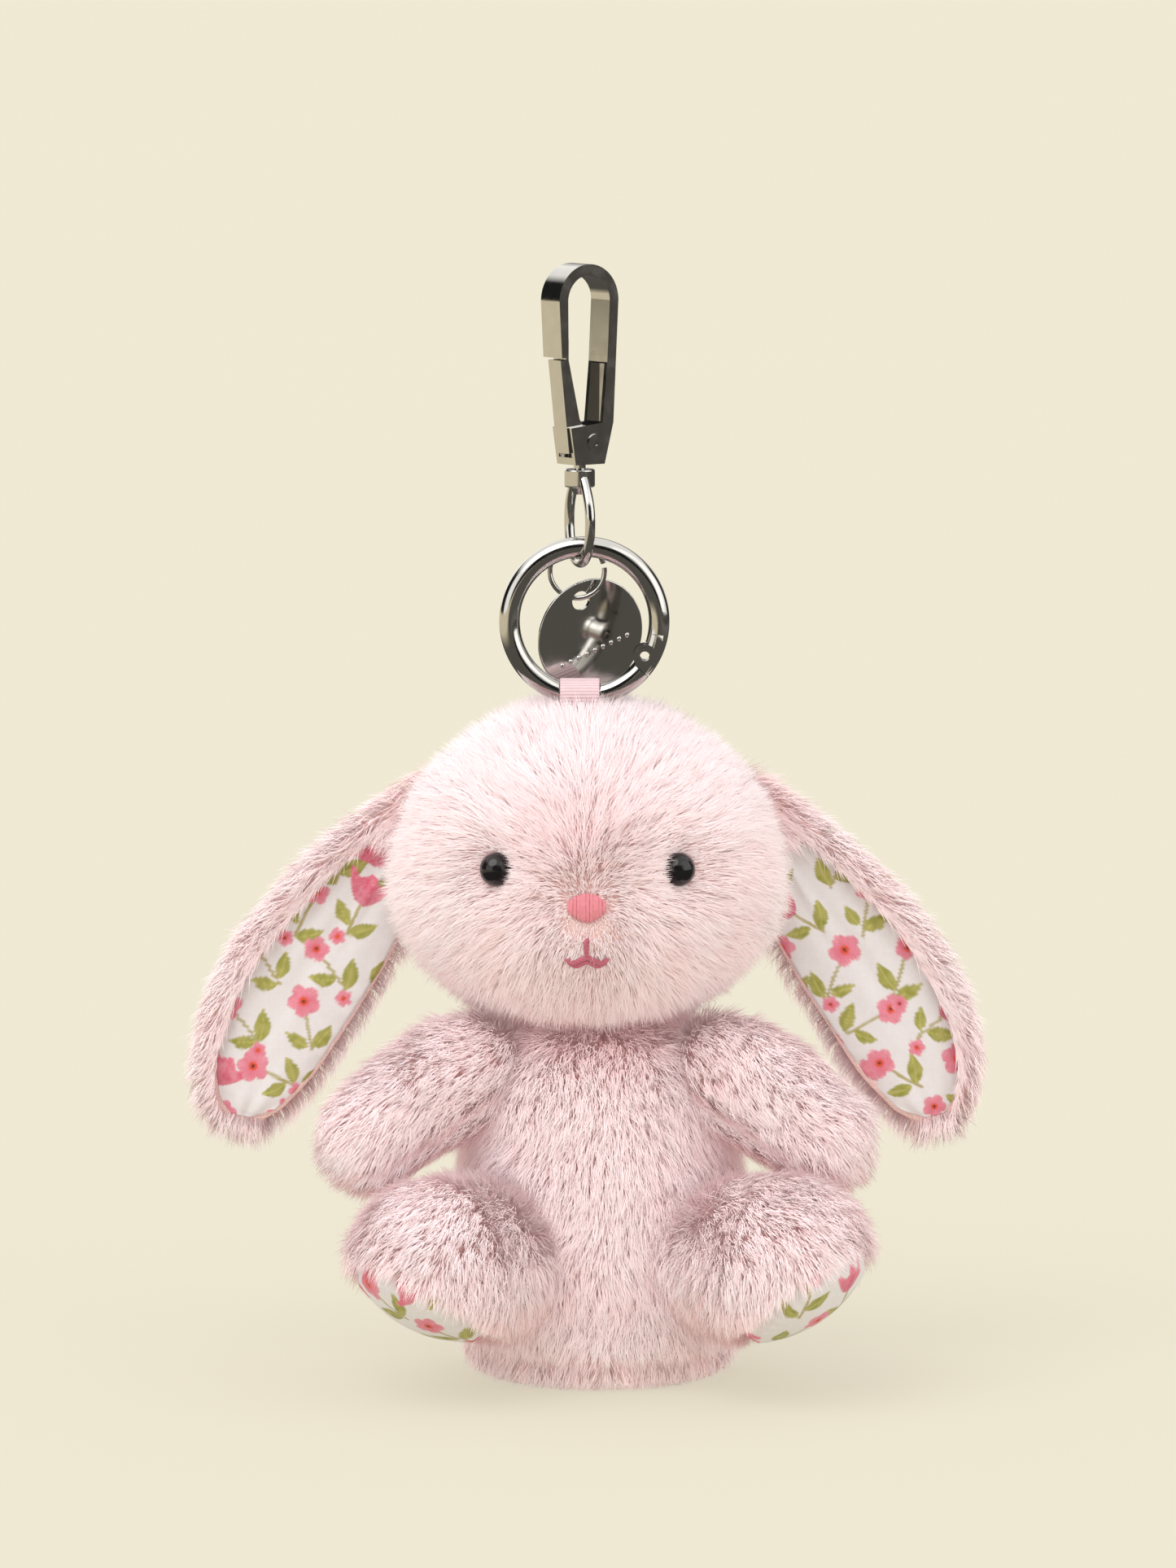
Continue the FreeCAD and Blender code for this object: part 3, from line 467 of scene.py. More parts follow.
def grain_group() -> bpy.types.NodeTree:
    """Makes the shared fine grain: a soft cloudy share and a fine height, over a position.

    Returns:
        The node group.
    """
    tree, source, target = group(
        "FineGrain",
        [
            ("Position", "NodeSocketVector", None),
            ("Coarse", "NodeSocketFloat", 300.0),
            ("Fine", "NodeSocketFloat", 3000.0),
        ],
        [("Cloud", "NodeSocketFloat"), ("Height", "NodeSocketFloat")],
    )
    place = source["Position"]
    cloud = tree.add("ShaderNodeTexNoise", {"Vector": place, "Scale": source["Coarse"], "Detail": 4.0})
    fine = tree.add("ShaderNodeTexNoise", {"Vector": place, "Scale": source["Fine"], "Detail": 2.0})
    tree.tree.links.new(cloud.outputs["Fac"], target["Cloud"])
    tree.tree.links.new(fine.outputs["Fac"], target["Height"])
    return tree.tree


def weave_group() -> bpy.types.NodeTree:
    """Makes the shared plain weave: the height of crossing threads, over a position.

    Returns:
        The node group.
    """
    tree, source, target = group(
        "PlainWeave",
        [("Position", "NodeSocketVector", None), ("Threads", "NodeSocketFloat", 3000.0)],
        [("Height", "NodeSocketFloat"), ("Slub", "NodeSocketFloat")],
    )
    heights = []
    for axis in ("X", "Z"):
        wave = tree.add(
            "ShaderNodeTexWave",
            {"Vector": source["Position"], "Scale": source["Threads"], "Distortion": 0.6, "Detail": 1.0},
            wave_type="BANDS",
            bands_direction=axis,
        )
        heights.append(wave.outputs["Fac"])
    tree.tree.links.new(tree.maths("MULTIPLY", heights[0], heights[1]), target["Height"])
    slub = tree.add("ShaderNodeTexNoise", {"Vector": source["Position"], "Scale": 900.0, "Detail": 3.0})
    tree.tree.links.new(slub.outputs["Fac"], target["Slub"])
    return tree.tree


@dataclass(frozen=True)
class Finish:
    """A finish: its name, the record's slot it belongs to and how rough it is."""

    name: str
    slot: str
    roughness: float

    def material(self) -> bpy.types.Material:
        """The finish's material, made the first time it is asked for.

        Returns:
            The material.
        """
        known = bpy.data.materials.get(self.name)
        if known:
            return known
        made = bpy.data.materials.new(self.name)
        made.use_nodes = True
        made.node_tree.nodes.clear()
        tree = Tree(made.node_tree)
        shader = tree.add("ShaderNodeBsdfPrincipled", {"Roughness": self.roughness})
        tree.add("ShaderNodeOutputMaterial", {"Surface": shader.outputs["BSDF"]})
        self.dress(tree, shader)
        return made

    def dress(self, tree: Tree, shader: bpy.types.Node) -> None:
        """Adds the finish's own nodes."""
        raise NotImplementedError

    def bump(self, tree: Tree, shader: bpy.types.Node, height: Socket, strength: float, deep: float) -> None:
        """Raises the surface by a height.

        Args:
            tree: the material's tree.
            shader: the material's shader.
            height: the socket of the height.
            strength: the bump's strength.
            deep: its depth, in metres.
        """
        made = tree.add("ShaderNodeBump", {"Height": height, "Strength": strength, "Distance": deep})
        tree.tree.links.new(made.outputs["Normal"], shader.inputs["Normal"])

    def grain(self, tree: Tree, coarse: float, fine: float) -> bpy.types.Node:
        """The shared grain over the object's own position.

        Args:
            tree: the material's tree.
            coarse: the cloud's scale.
            fine: the height's scale.

        Returns:
            The group's node.
        """
        place = tree.add("ShaderNodeTexCoord").outputs["Object"]
        made = tree.add("ShaderNodeGroup", node_tree=SHARED["grain"])
        tree.tree.links.new(place, made.inputs["Position"])
        made.inputs["Coarse"].default_value = coarse
        made.inputs["Fine"].default_value = fine
        return made

    def on(self, made: bpy.types.Object) -> None:
        """Puts the finish on a piece made here."""
        made.data.materials.append(self.material())

    def on_node(self, node: str) -> None:
        """Puts the finish on a CAD node that stays."""
        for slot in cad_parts[node].material_slots:
            slot.material = self.material()


@dataclass(frozen=True)
class Nickel(Finish):
    """Bright plated metal with faint cloudy polish and hairline marks."""

    tint: Colour = (0.66, 0.645, 0.62)
    marks: float = 0.05

    def dress(self, tree: Tree, shader: bpy.types.Node) -> None:
        """Clouds the tint and the polish, and raises hairline marks.

        Args:
            tree: the material's tree.
            shader: the material's shader.
        """
        grain = self.grain(tree, 420.0, 5200.0)
        shader.inputs["Metallic"].default_value = 1.0
        dull = tuple(0.86 * part for part in self.tint)
        colour = tree.mixed(grain.outputs["Cloud"], self.tint, dull)
        tree.tree.links.new(colour, shader.inputs["Base Color"])
        polish = {"From Min": 0.35, "From Max": 0.7, "To Min": self.roughness, "To Max": self.roughness * 2.0}
        rough = tree.add("ShaderNodeMapRange", {"Value": grain.outputs["Cloud"], **polish})
        tree.tree.links.new(rough.outputs["Result"], shader.inputs["Roughness"])
        self.bump(tree, shader, grain.outputs["Height"], self.marks, 0.00005)


@dataclass(frozen=True)
class Pile(Finish):
    """Soft plush fibre, deeper at its roots and nearly white at its tips; the deep roots are partly painted
    shade down in the pile, and the fibres have a faint painted glow.
    """

    # painted shade: the deep root colour stands partly for the shade down in the pile
    root: Colour = (0.955, 0.70, 0.705)
    middle: Colour = (0.96, 0.845, 0.86)
    tip: Colour = (0.95, 0.92, 0.945)
    # the deep pink mixed in by the shade attribute: partly random tone, partly painted shade in hollows and
    # beneath
    deep: Colour = (0.998, 0.63, 0.62)
    # painted light: how strongly the fibres glow
    painted_glow: float = 0.07

    def dress(self, tree: Tree, shader: bpy.types.Node) -> None:
        """Colours each fibre from its root to its tip, deepens some of them at random and with painted shade,
        and adds a faint painted glow.

        Args:
            tree: the material's tree.
            shader: the material's shader.
        """
        along = tree.add("ShaderNodeAttribute", attribute_name="along").outputs["Fac"]
        shade = tree.add("ShaderNodeAttribute", attribute_name="shade").outputs["Fac"]
        fibre = tree.ramp(along, [(0.0, self.root), (0.5, self.middle), (1.0, self.tip)])
        colour = tree.mixed(shade, fibre, self.deep)
        tree.tree.links.new(colour, shader.inputs["Base Color"])
        shader.inputs["Specular IOR Level"].default_value = 0.25
        shader.inputs["Sheen Weight"].default_value = 0.25
        shader.inputs["Sheen Roughness"].default_value = 0.5
        shader.inputs["Sheen Tint"].default_value = (1.0, 0.9, 0.88, 1.0)
        # painted light: a faint deeper-pink glow, standing in for light passing through the fibres, lifts the
        # shade between them
        tree.tree.links.new(tree.mixed(0.5, colour, self.deep), shader.inputs["Emission Color"])
        shader.inputs["Emission Strength"].default_value = self.painted_glow


@dataclass(frozen=True)
class Backing(Finish):
    """The plush's knitted backing and dense under-pile."""

    light: Colour = (0.998, 0.78, 0.76)
    dark: Colour = (0.995, 0.62, 0.59)

    def dress(self, tree: Tree, shader: bpy.types.Node) -> None:
        """Mottles the backing and roughens it.

        Args:
            tree: the material's tree.
            shader: the material's shader.
        """
        grain = self.grain(tree, 700.0, 2600.0)
        colour = tree.mixed(grain.outputs["Height"], self.dark, self.light)
        tree.tree.links.new(colour, shader.inputs["Base Color"])
        self.bump(tree, shader, grain.outputs["Height"], 0.9, 0.0006)
        shader.inputs["Sheen Weight"].default_value = 0.3


@dataclass(frozen=True)
class Cotton(Finish):
    """Printed plain-weave cotton: the print is stored on the sheet's points."""

    gap_shade: Colour = (0.90, 0.88, 0.87)
    slub_shade: Colour = (0.965, 0.96, 0.955)

    def dress(self, tree: Tree, shader: bpy.types.Node) -> None:
        """Lays the weave over the print.

        Args:
            tree: the material's tree.
            shader: the material's shader.
        """
        place = tree.add("ShaderNodeTexCoord").outputs["Object"]
        weave = tree.add("ShaderNodeGroup", node_tree=SHARED["weave"])
        tree.tree.links.new(place, weave.inputs["Position"])
        weave.inputs["Threads"].default_value = 1300.0
        ink = tree.add("ShaderNodeAttribute", attribute_name="print").outputs["Color"]
        thread = tree.ramp(weave.outputs["Height"], [(0.0, self.gap_shade), (0.35, PLAIN), (1.0, PLAIN)])
        slub = tree.ramp(weave.outputs["Slub"], [(0.3, self.slub_shade), (0.7, PLAIN), (1.0, PLAIN)])
        colour = tree.mixed(1.0, tree.mixed(1.0, ink, thread, "MULTIPLY"), slub, "MULTIPLY")
        tree.tree.links.new(colour, shader.inputs["Base Color"])
        self.bump(tree, shader, weave.outputs["Height"], 0.2, 0.00006)
        shader.inputs["Sheen Weight"].default_value = 0.15


@dataclass(frozen=True)
class Grosgrain(Finish):
    """Ribbed ribbon: the ribs are in its mesh, and stored on its points."""

    crest: Colour = (0.84, 0.66, 0.69)
    groove: Colour = (0.68, 0.46, 0.50)

    def dress(self, tree: Tree, shader: bpy.types.Node) -> None:
        """Shades the grooves between the ribs and frays the thread a little.

        Args:
            tree: the material's tree.
            shader: the material's shader.
        """
        grain = self.grain(tree, 900.0, 6000.0)
        rib = tree.add("ShaderNodeAttribute", attribute_name="rib").outputs["Fac"]
        colour = tree.mixed(rib, self.groove, self.crest)
        worn = tree.ramp(grain.outputs["Cloud"], [(0.3, (0.95, 0.93, 0.93)), (0.7, PLAIN)])
        tree.tree.links.new(tree.mixed(1.0, colour, worn, "MULTIPLY"), shader.inputs["Base Color"])
        self.bump(tree, shader, grain.outputs["Height"], 0.25, 0.00008)
        shader.inputs["Sheen Weight"].default_value = 0.3


@dataclass(frozen=True)
class Thread(Finish):
    """Embroidery thread with a silky twist."""

    tint: Colour = (0.66, 0.17, 0.22)
    pale: Colour = (0.80, 0.30, 0.34)

    def dress(self, tree: Tree, shader: bpy.types.Node) -> None:
        """Varies the tint from strand to strand.

        Args:
            tree: the material's tree.
            shader: the material's shader.
        """
        grain = self.grain(tree, 1500.0, 6500.0)
        colour = tree.mixed(grain.outputs["Cloud"], self.tint, self.pale)
        tree.tree.links.new(colour, shader.inputs["Base Color"])
        self.bump(tree, shader, grain.outputs["Height"], 0.4, 0.0001)
        shader.inputs["Sheen Weight"].default_value = 0.3


@dataclass(frozen=True)
class Plastic(Finish):
    """Moulded plastic with a faint unevenness."""

    tint: Colour = (0.008, 0.007, 0.008)
    lacquer: float = 1.0

    def dress(self, tree: Tree, shader: bpy.types.Node) -> None:
        """Clouds the tint and dimples the surface very slightly.

        Args:
            tree: the material's tree.
            shader: the material's shader.
        """
        grain = self.grain(tree, 500.0, 3000.0)
        pale = tuple(min(1.0, 1.5 * part + 0.004) for part in self.tint)
        colour = tree.mixed(grain.outputs["Cloud"], self.tint, pale)
        tree.tree.links.new(colour, shader.inputs["Base Color"])
        self.bump(tree, shader, grain.outputs["Cloud"], 0.03, 0.0001)
        shader.inputs["Coat Weight"].default_value = self.lacquer
        shader.inputs["Coat Roughness"].default_value = 0.03


NICKEL = Nickel("bright_nickel", "nickel", 0.07)
WIRE = Nickel("spring_wire", "spring_steel", 0.22, (0.52, 0.52, 0.53), 0.15)
PLUSH = Pile("plush_pile", "plush", 0.8)
BACKING = Backing("plush_backing", "plush", 0.95)
COTTON = Cotton("printed_cotton_sheet", "printed_cotton", 0.85)
RIBBON = Grosgrain("pink_grosgrain", "ribbon", 0.6)
THREAD = Thread("rose_floss", "rose_thread", 0.55)
DARK_THREAD = Thread("deep_rose_cord", "rose_thread", 0.6, (0.42, 0.075, 0.125), (0.58, 0.15, 0.21))
BEAD = Plastic("black_bead", "bead", 0.05, (0.006, 0.005, 0.006), 0.0)
WASHER = Plastic("washer_plastic", "washer", 0.5, (0.82, 0.82, 0.8), 0.0)


# ---------------------------------------------------------------- fur


@dataclass
class Fur:
    """How a pile grows: fibres per square millimetre, and the fibre's own sizes."""

    density: float = 9.0
    length: float = 6.4
    thick: float = 0.20
    lean: float = 0.72
    tuft: float = 2.4
    pull: float = 0.38
    stray: float = 0.30
    seed: int = 1

    def tuft_pull(self, roots: Rows) -> Rows:
        """The vector from each root to the middle of the tuft it belongs to.

        Args:
            roots: rows of places, in millimetres.

        Returns:
            Rows of vectors.
        """
        cells = np.floor(roots / self.tuft)
        nearest = np.full(len(roots), np.inf)
        towards = np.zeros_like(roots)
        for offset in np.ndindex(3, 3, 3):
            cell = cells + np.array(offset) - 1
            gap = (cell + scrambled(cell, self.seed + 40)) * self.tuft - roots
            distance = (gap**2).sum(1)
            closer = distance < nearest
            nearest[closer] = distance[closer]
            towards[closer] = gap[closer]
        return towards

    def grow(
        self, name: str, skin: Skin, comb: Comb, trim: Trim, body: str, painted_shade: Trim | None = None
    ) -> None:
        """Grows the pile on a surface, in pieces that are each small enough to be exported.

        Args:
            name: the start of the pieces' names.
            skin: the surface.
            comb: gives the way the pile lies at some points with their normals.
            trim: gives the share of the full length there, 0 for none.
            body: the CAD body that the pile moves with.
            painted_shade: gives how much painted shade deepens the colour there.
        """
        random = np.random.default_rng(self.seed)
        triangles = skin.triangles()
        normals = skin.normals()
        corner = [skin.points[triangles[:, k]] for k in range(3)]
        area = 0.5 * np.linalg.norm(np.cross(corner[1] - corner[0], corner[2] - corner[0]), axis=1)
        count = int(area.sum() * self.density)
        pick = random.choice(len(triangles), count, p=area / area.sum())
        u, v = random.random((2, count))
        over = u + v > 1
        u[over], v[over] = 1 - u[over], 1 - v[over]
        share = np.stack([1 - u - v, u, v], axis=1)[:, :, None]
        roots = sum(share[:, k] * corner[k][pick] for k in range(3))
        out = unit(sum(share[:, k] * normals[triangles[pick, k]] for k in range(3)))
        cut = trim(roots, out)
        kept = cut > 0.03
        roots, out, cut = roots[kept], out[kept], cut[kept]
        count = len(roots)

        flow = comb(roots, out)
        flow = flow - out * (flow * out).sum(1, keepdims=True)
        lying = self.lean * np.clip(np.linalg.norm(flow, axis=1, keepdims=True), 0.62, 1.0)
        flow = unit(flow)
        swirl = drift(roots, 3.2 * self.tuft, self.seed + 5) * 0.42
        swirl = swirl + drift(roots, 0.9 * self.tuft, self.seed + 9) * 0.25
        loose = random.normal(size=(count, 3)) * self.stray * 0.5
        long = (self.length * cut * random.uniform(0.72, 1.12, count))[:, None]
        first = unit(out + flow * lying * 0.45 + 0.35 * swirl + 0.5 * loose)
        second = unit(out * (1.0 - lying) + flow * lying + 0.9 * swirl * lying + loose)
        towards = self.tuft_pull(roots)
        towards = (towards - out * (towards * out).sum(1, keepdims=True)) * np.minimum(1.0, cut[:, None])
        middle = roots + 0.48 * long * first + 0.35 * self.pull * towards
        tips = middle + 0.55 * long * second + 0.85 * self.pull * towards
        roots = roots - 0.3 * out
        side = unit(unit(np.cross(tips - roots, out)) + 0.45 * unit(random.normal(size=(count, 3))))
        half = 0.5 * self.thick * random.uniform(0.75, 1.2, (count, 1))
        wide, narrow = side * half, side * half * 0.8
        blades = np.stack([roots - wide, roots + wide, middle - narrow, middle + narrow, tips], axis=1)
        blades[:, :, 2] = np.maximum(blades[:, :, 2], FLOOR_Z + 0.05)
        facing = unit(np.cross(side, tips - roots))
        spread = self.tuft_pull(roots + 0.3 * out)
        spread = spread - out * (spread * out).sum(1, keepdims=True)
        # painted shade: fibres at the rim of each tuft get a deeper colour, as if shaded in the gaps between
        # tufts
        edge = smooth(0.25 * self.tuft, 0.85 * self.tuft, np.linalg.norm(spread, axis=1))
        shading = unit(out + 0.22 * facing - 0.35 * spread / self.tuft)
        patchy = drift(roots, 7.0, self.seed + 21)[:, 0] * 0.5 + 0.5
        # the tone: random, painted shade at the tuft rims, and random patches
        tone = 0.10 * random.random(count) + 0.16 * edge + 0.16 * patchy
        # painted shade: seams, undersides, the neck and the ear roots get a deeper colour
        if painted_shade is not None:
            tone = tone + painted_shade(roots, out)
        for number, first_strand in enumerate(range(0, count, MOST_STRANDS), start=1):
            chosen = slice(first_strand, first_strand + MOST_STRANDS)
            piece = strands(f"{name}_{number}", blades[chosen], tone[chosen], shading[chosen])
            PLUSH.on(piece)
            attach(piece, body)
        LOG.info("%s: %d fibres", name, count)


def stuffed(skin: Skin, name: str, body: str, nodes: tuple[str, ...]) -> None:
    """Makes a stuffed piece of plush that stands for CAD nodes.

    Args:
        skin: its surface.
        name: the piece's name.
        body: the CAD body that it moves with.
        nodes: the CAD nodes that it stands for.
    """
    made = skin.made(name)
    BACKING.on(made)
    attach(made, body)
    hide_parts(*nodes)


def whole(points: Rows, out: Rows) -> Rows:
    """A trim that leaves all the pile at its full length."""
    return np.ones(len(points))


def strands(name: str, blades: Rows, tone: Rows, shading: Rows) -> bpy.types.Object:
    """One mesh of many tapered fibres.

    Args:
        name: the piece's name.
        blades: five points for each fibre: two at its root, two at its middle and its tip.
        tone: how deep each fibre's colour is.
        shading: the direction that each fibre is lit from.

    Returns:
        The piece.
    """
    count = len(blades)
    base = np.arange(count)[:, None] * 5
    loops = np.hstack([base + 0, base + 1, base + 3, base + 2, base + 2, base + 3, base + 4]).ravel()
    starts = (np.arange(count)[:, None] * 7 + np.array([[0, 4]])).ravel()
    mesh = bpy.data.meshes.new(name)
    mesh.vertices.add(count * 5)
    mesh.vertices.foreach_set("co", (blades.reshape(-1, 3) * MM).astype(np.float32).ravel())
    mesh.loops.add(len(loops))
    mesh.loops.foreach_set("vertex_index", loops.astype(np.int32))
    mesh.polygons.add(len(starts))
    mesh.polygons.foreach_set("loop_start", starts.astype(np.int32))
    mesh.polygons.foreach_set("use_smooth", np.ones(len(starts), dtype=bool))
    mesh.update(calc_edges=True)
    made = bpy.data.objects.new(name, mesh)
    bpy.context.scene.collection.objects.link(made)
    painted(made, "along", np.tile([0.0, 0.0, 0.5, 0.5, 1.0], count))
    painted(made, "shade", np.repeat(tone, 5))
    mesh.normals_split_custom_set_from_vertices(np.repeat(shading, 5, axis=0).tolist())
    return made


# ---------------------------------------------------------------- printed cotton


class Motif(Enum):
    """The kinds of figure in the cotton's print."""

    BLOOM = "bloom"
    CUP = "cup"
    LEAF = "leaf"
    STEM = "stem"


@dataclass(frozen=True)
class Figure:
    """One figure of the print: its kind, place, size and turn, in millimetres and degrees."""

    kind: Motif
    across: float
    up: float
    size: float
    turn: float = 0.0
    bend: float = 0.0


@dataclass
class Print:
    """A floral print, painted figure by figure over flat coordinates."""

    figures: list[Figure]
    seed: int = 3
    scale: dict[Motif, float] = field(
        default_factory=lambda: {Motif.BLOOM: 1.35, Motif.CUP: 1.3, Motif.LEAF: 1.25, Motif.STEM: 1.1}
    )
    ground: Colour = (0.83, 0.80, 0.82)
    pink: Colour = (0.80, 0.11, 0.21)
    pale: Colour = (0.90, 0.40, 0.48)
    heart: Colour = (0.78, 0.10, 0.035)
    leaf: Colour = (0.30, 0.31, 0.05)
    pale_leaf: Colour = (0.48, 0.45, 0.14)
    stem: Colour = (0.43, 0.37, 0.12)

    def paint(self, across: Rows, up: Rows) -> Rows:
        """The print's colour at each place.

        Args:
            across: the sideways places, in millimetres.
            up: the upward places.

        Returns:
            Rows of colours.
        """
        colour = np.tile(np.array(self.ground), (len(across), 1))
        flat = np.stack([across, up, np.full_like(across, 2.0)], axis=1)
        wash = drift(flat, 1.1, self.seed)[:, 0] * 0.5 + 0.5
        ragged = drift(flat, 0.7, self.seed + 1)[:, 1]
        order = [Motif.STEM, Motif.LEAF, Motif.CUP, Motif.BLOOM]
        for drawn in sorted(self.figures, key=lambda f: order.index(f.kind)):
            figure = replace(drawn, size=drawn.size * self.scale[drawn.kind])
            turn = math.radians(figure.turn)
            x = (across - figure.across) * math.cos(turn) + (up - figure.up) * math.sin(turn)
            y = (up - figure.up) * math.cos(turn) - (across - figure.across) * math.sin(turn)
            getattr(self, figure.kind.value + "_mark")(colour, figure, x, y, wash, ragged)
        return np.clip(colour, 0.0, 1.0)

    @staticmethod
    def lay(colour: Rows, mask: Rows, ink: Rows) -> None:
        """Lays ink over the colours where the mask is."""
        colour += mask[:, None] * (ink - colour)

    def stem_mark(self, colour: Rows, figure: Figure, x: Rows, y: Rows, wash: Rows, ragged: Rows) -> None:
        """A thin bent line, its middle at the figure's place.

        Args:
            colour: the colours so far, which it changes.
            figure: the figure.
            x: places across the figure, in millimetres.
            y: places along it.
            wash: an uneven share, for the ink.
            ragged: an uneven offset, for the edge.
        """
        off = np.abs(x - figure.bend * (y / figure.size) ** 2 * 2.0 + 0.12 * ragged)
        mask = smooth(0.42, 0.2, off) * smooth(0.5 * figure.size, 0.45 * figure.size, np.abs(y))
        self.lay(colour, mask * (0.75 + 0.25 * wash), np.array(self.stem))

    def leaf_mark(self, colour: Rows, figure: Figure, x: Rows, y: Rows, wash: Rows, ragged: Rows) -> None:
        """A pointed leaf with a paler vein.

        Args:
            colour: the colours so far, which it changes.
            figure: the figure.
            x: places across the figure, in millimetres.
            y: places along it.
            wash: an uneven share, for the ink.
            ragged: an uneven offset, for the edge.
        """
        along = np.clip((y + 0.5 * figure.size) / figure.size, 0.0, 1.0)
        wide = 0.24 * figure.size * np.sin(np.pi * along**0.8) + 0.05
        off = np.abs(x - figure.bend * 4 * along * (1 - along)) + 0.15 * ragged
        inside = smooth(wide + 0.12, wide - 0.2, off) * (np.abs(y) < 0.5 * figure.size)
        ink = np.array(self.leaf) + wash[:, None] * (np.array(self.pale_leaf) - np.array(self.leaf))
        self.lay(colour, inside, ink)
        self.lay(colour, 0.5 * inside * smooth(0.22, 0.06, off), np.array(self.pale_leaf) * 1.3)

    def bloom_mark(self, colour: Rows, figure: Figure, x: Rows, y: Rows, wash: Rows, ragged: Rows) -> None:
        """An open flower with five petals and a dark-eyed heart.

        Args:
            colour: the colours so far, which it changes.
            figure: the figure.
            x: places across the figure, in millimetres.
            y: places along it.
            wash: an uneven share, for the ink.
            ragged: an uneven offset, for the edge.
        """
        radius, turn = np.hypot(x, y), np.arctan2(y, x)
        edge = figure.size * (0.70 + 0.30 * np.abs(np.cos(2.5 * turn)) ** 0.7) + 0.12 * ragged
        share = np.clip(radius / figure.size, 0.0, 1.0)
        streak = 0.5 + 0.5 * np.cos(20.0 * turn + 3.0 * ragged)
        lighter = np.array(self.pale) - np.array(self.pink)
        ink = np.array(self.pink) + (0.65 * share + 0.35 * wash)[:, None] * lighter
        ink = ink * (1.0 - 0.18 * streak * share)[:, None]
        self.lay(colour, smooth(edge + 0.14, edge - 0.14, radius), ink)
        self.lay(colour, smooth(0.34, 0.2, share), np.array(self.heart))
        self.lay(colour, smooth(0.15, 0.06, share), np.array([0.12, 0.02, 0.03]))

    def cup_mark(self, colour: Rows, figure: Figure, x: Rows, y: Rows, wash: Rows, ragged: Rows) -> None:
        """A flower seen from its side: a fan of petals over its stalk.

        Args:
            colour: the colours so far, which it changes.
            figure: the figure.
            x: places across the figure, in millimetres.
            y: places along it.
            wash: an uneven share, for the ink.
            ragged: an uneven offset, for the edge.
        """
        low = y + 0.5 * figure.size
        wide = 0.75 * figure.size * np.sqrt(np.clip(low / figure.size, 0.0, 1.0))
        crown = figure.size * (0.86 + 0.10 * np.cos(3.2 * x / figure.size * np.pi)) + 0.2 * ragged
        mask = smooth(wide + 0.15, wide - 0.15, np.abs(x)) * (low > 0)
        mask = mask * smooth(crown + 0.15, crown - 0.15, low)
        streak = 0.5 + 0.5 * np.sin(16.0 * x / figure.size + 4.0 * ragged)
        lighter = np.array(self.pale) - np.array(self.pink)
        ink = np.array(self.pink) + (0.5 * wash + 0.35 * streak)[:, None] * lighter
        ink = ink * (0.78 + 0.22 * np.clip(low / figure.size, 0, 1))[:, None]
        self.lay(colour, mask, ink)


# ---------------------------------------------------------------- metal


@dataclass
class Metalwork:
    """The hook, the swivel, the key ring and the tag: CAD nodes that keep their shapes."""

    plated: tuple[str, ...] = (
        "hook_body", "hook_gate", "gate_rivet", "swivel_stem", "swivel_eye",
        "ring_body", "ring_gate", "ring_hinge_pin", "tag_ring", "tag_disc",
    )
    springs: tuple[str, ...] = ("gate_spring", "ring_gate_spring")

    def build(self) -> None:
        """Puts the metal finishes on."""
        for node in self.plated:
            NICKEL.on_node(node)
        for node in self.springs:
            WIRE.on_node(node)
        LOG.info("metalwork: %d nodes", len(self.plated) + len(self.springs))


@dataclass
class Ribbon:
    """The grosgrain ribbon: a loop round the key ring's wire, and two legs into the head."""

    ribs: float = 0.62
    relief: float = 0.07
    thick: float = 0.42
    buried: float = 6.0

    def line(self) -> Rows:
        """The band's middle line, seen from the side: up one leg, round the wire and down the other.

        Returns:
            Rows of two places: backward and up.
        """
        _, high = box("ribbon_loop")
        bend = high[1] - 0.5 * self.thick
        axis = high[2] - 0.5 * self.thick - bend
        join = axis - 1.86 * bend
        spread = math.asin(bend / (axis - join))
        turn = np.linspace(-spread, math.pi + spread, 70)
        loop = np.stack([bend * np.cos(turn), axis + bend * np.sin(turn)], axis=1)
        leg = np.linspace(0, 1, 30)[1:, None]
        foot = np.array([0.5 * self.thick, join - 0.5])
        start = foot + (loop[0] - foot) * (1 - leg[::-1])
        mirror, end = np.array([[-1, 1]]), np.array([[0, self.buried]])
        return np.vstack([start[:1] - end, start, loop, mirror * start[::-1], mirror * start[:1] - end])

    def build(self) -> None:
        """Makes the ribbed band along its loop."""
        low, high = box("ribbon_loop")
        line = self.line()
        steps = np.linalg.norm(np.diff(line, axis=0), axis=1)
        along = np.concatenate([[0], np.cumsum(steps)])
        fine = np.linspace(0, along[-1], int(along[-1] / self.ribs * 8))
        path = np.stack([np.interp(fine, along, line[:, k]) for k in range(2)], axis=1)
        tangent = unit(np.gradient(path, axis=0))
        normal = np.stack([tangent[:, 1], -tangent[:, 0]], axis=1)
        rib = 0.5 + 0.5 * np.cos(2 * np.pi * fine / self.ribs)
        across = np.linspace(low[0], high[0], 26)
        edge = smooth(0.0, 0.5, np.minimum(across - low[0], high[0] - across))
        wobble = 0.05 * np.sin(2 * np.pi * fine / self.ribs)
        rings = []
        for index in range(len(fine)):
            height = 0.5 * self.thick * (0.75 + 0.25 * edge) + self.relief * (rib[index] - 0.5) * edge
            outer = path[index] + normal[index] * height[:, None]
            inner = path[index] - normal[index] * height[::-1, None]
            xs = across + wobble[index] * np.sign(across - across.mean()) * (1 - edge)
            rings.append(np.vstack([np.column_stack([xs, outer]), np.column_stack([xs[::-1], inner])]))
        skin = lofted(np.array(rings))
        made = skin.made("ribbon_band")
        painted(made, "rib", np.concatenate([np.repeat(rib, 52), [0.5, 0.5]]))
        RIBBON.on(made)
        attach(made, "head")
        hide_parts("ribbon_loop")
        LOG.info("ribbon: %.0f mm of band", along[-1])


# ---------------------------------------------------------------- the rabbit


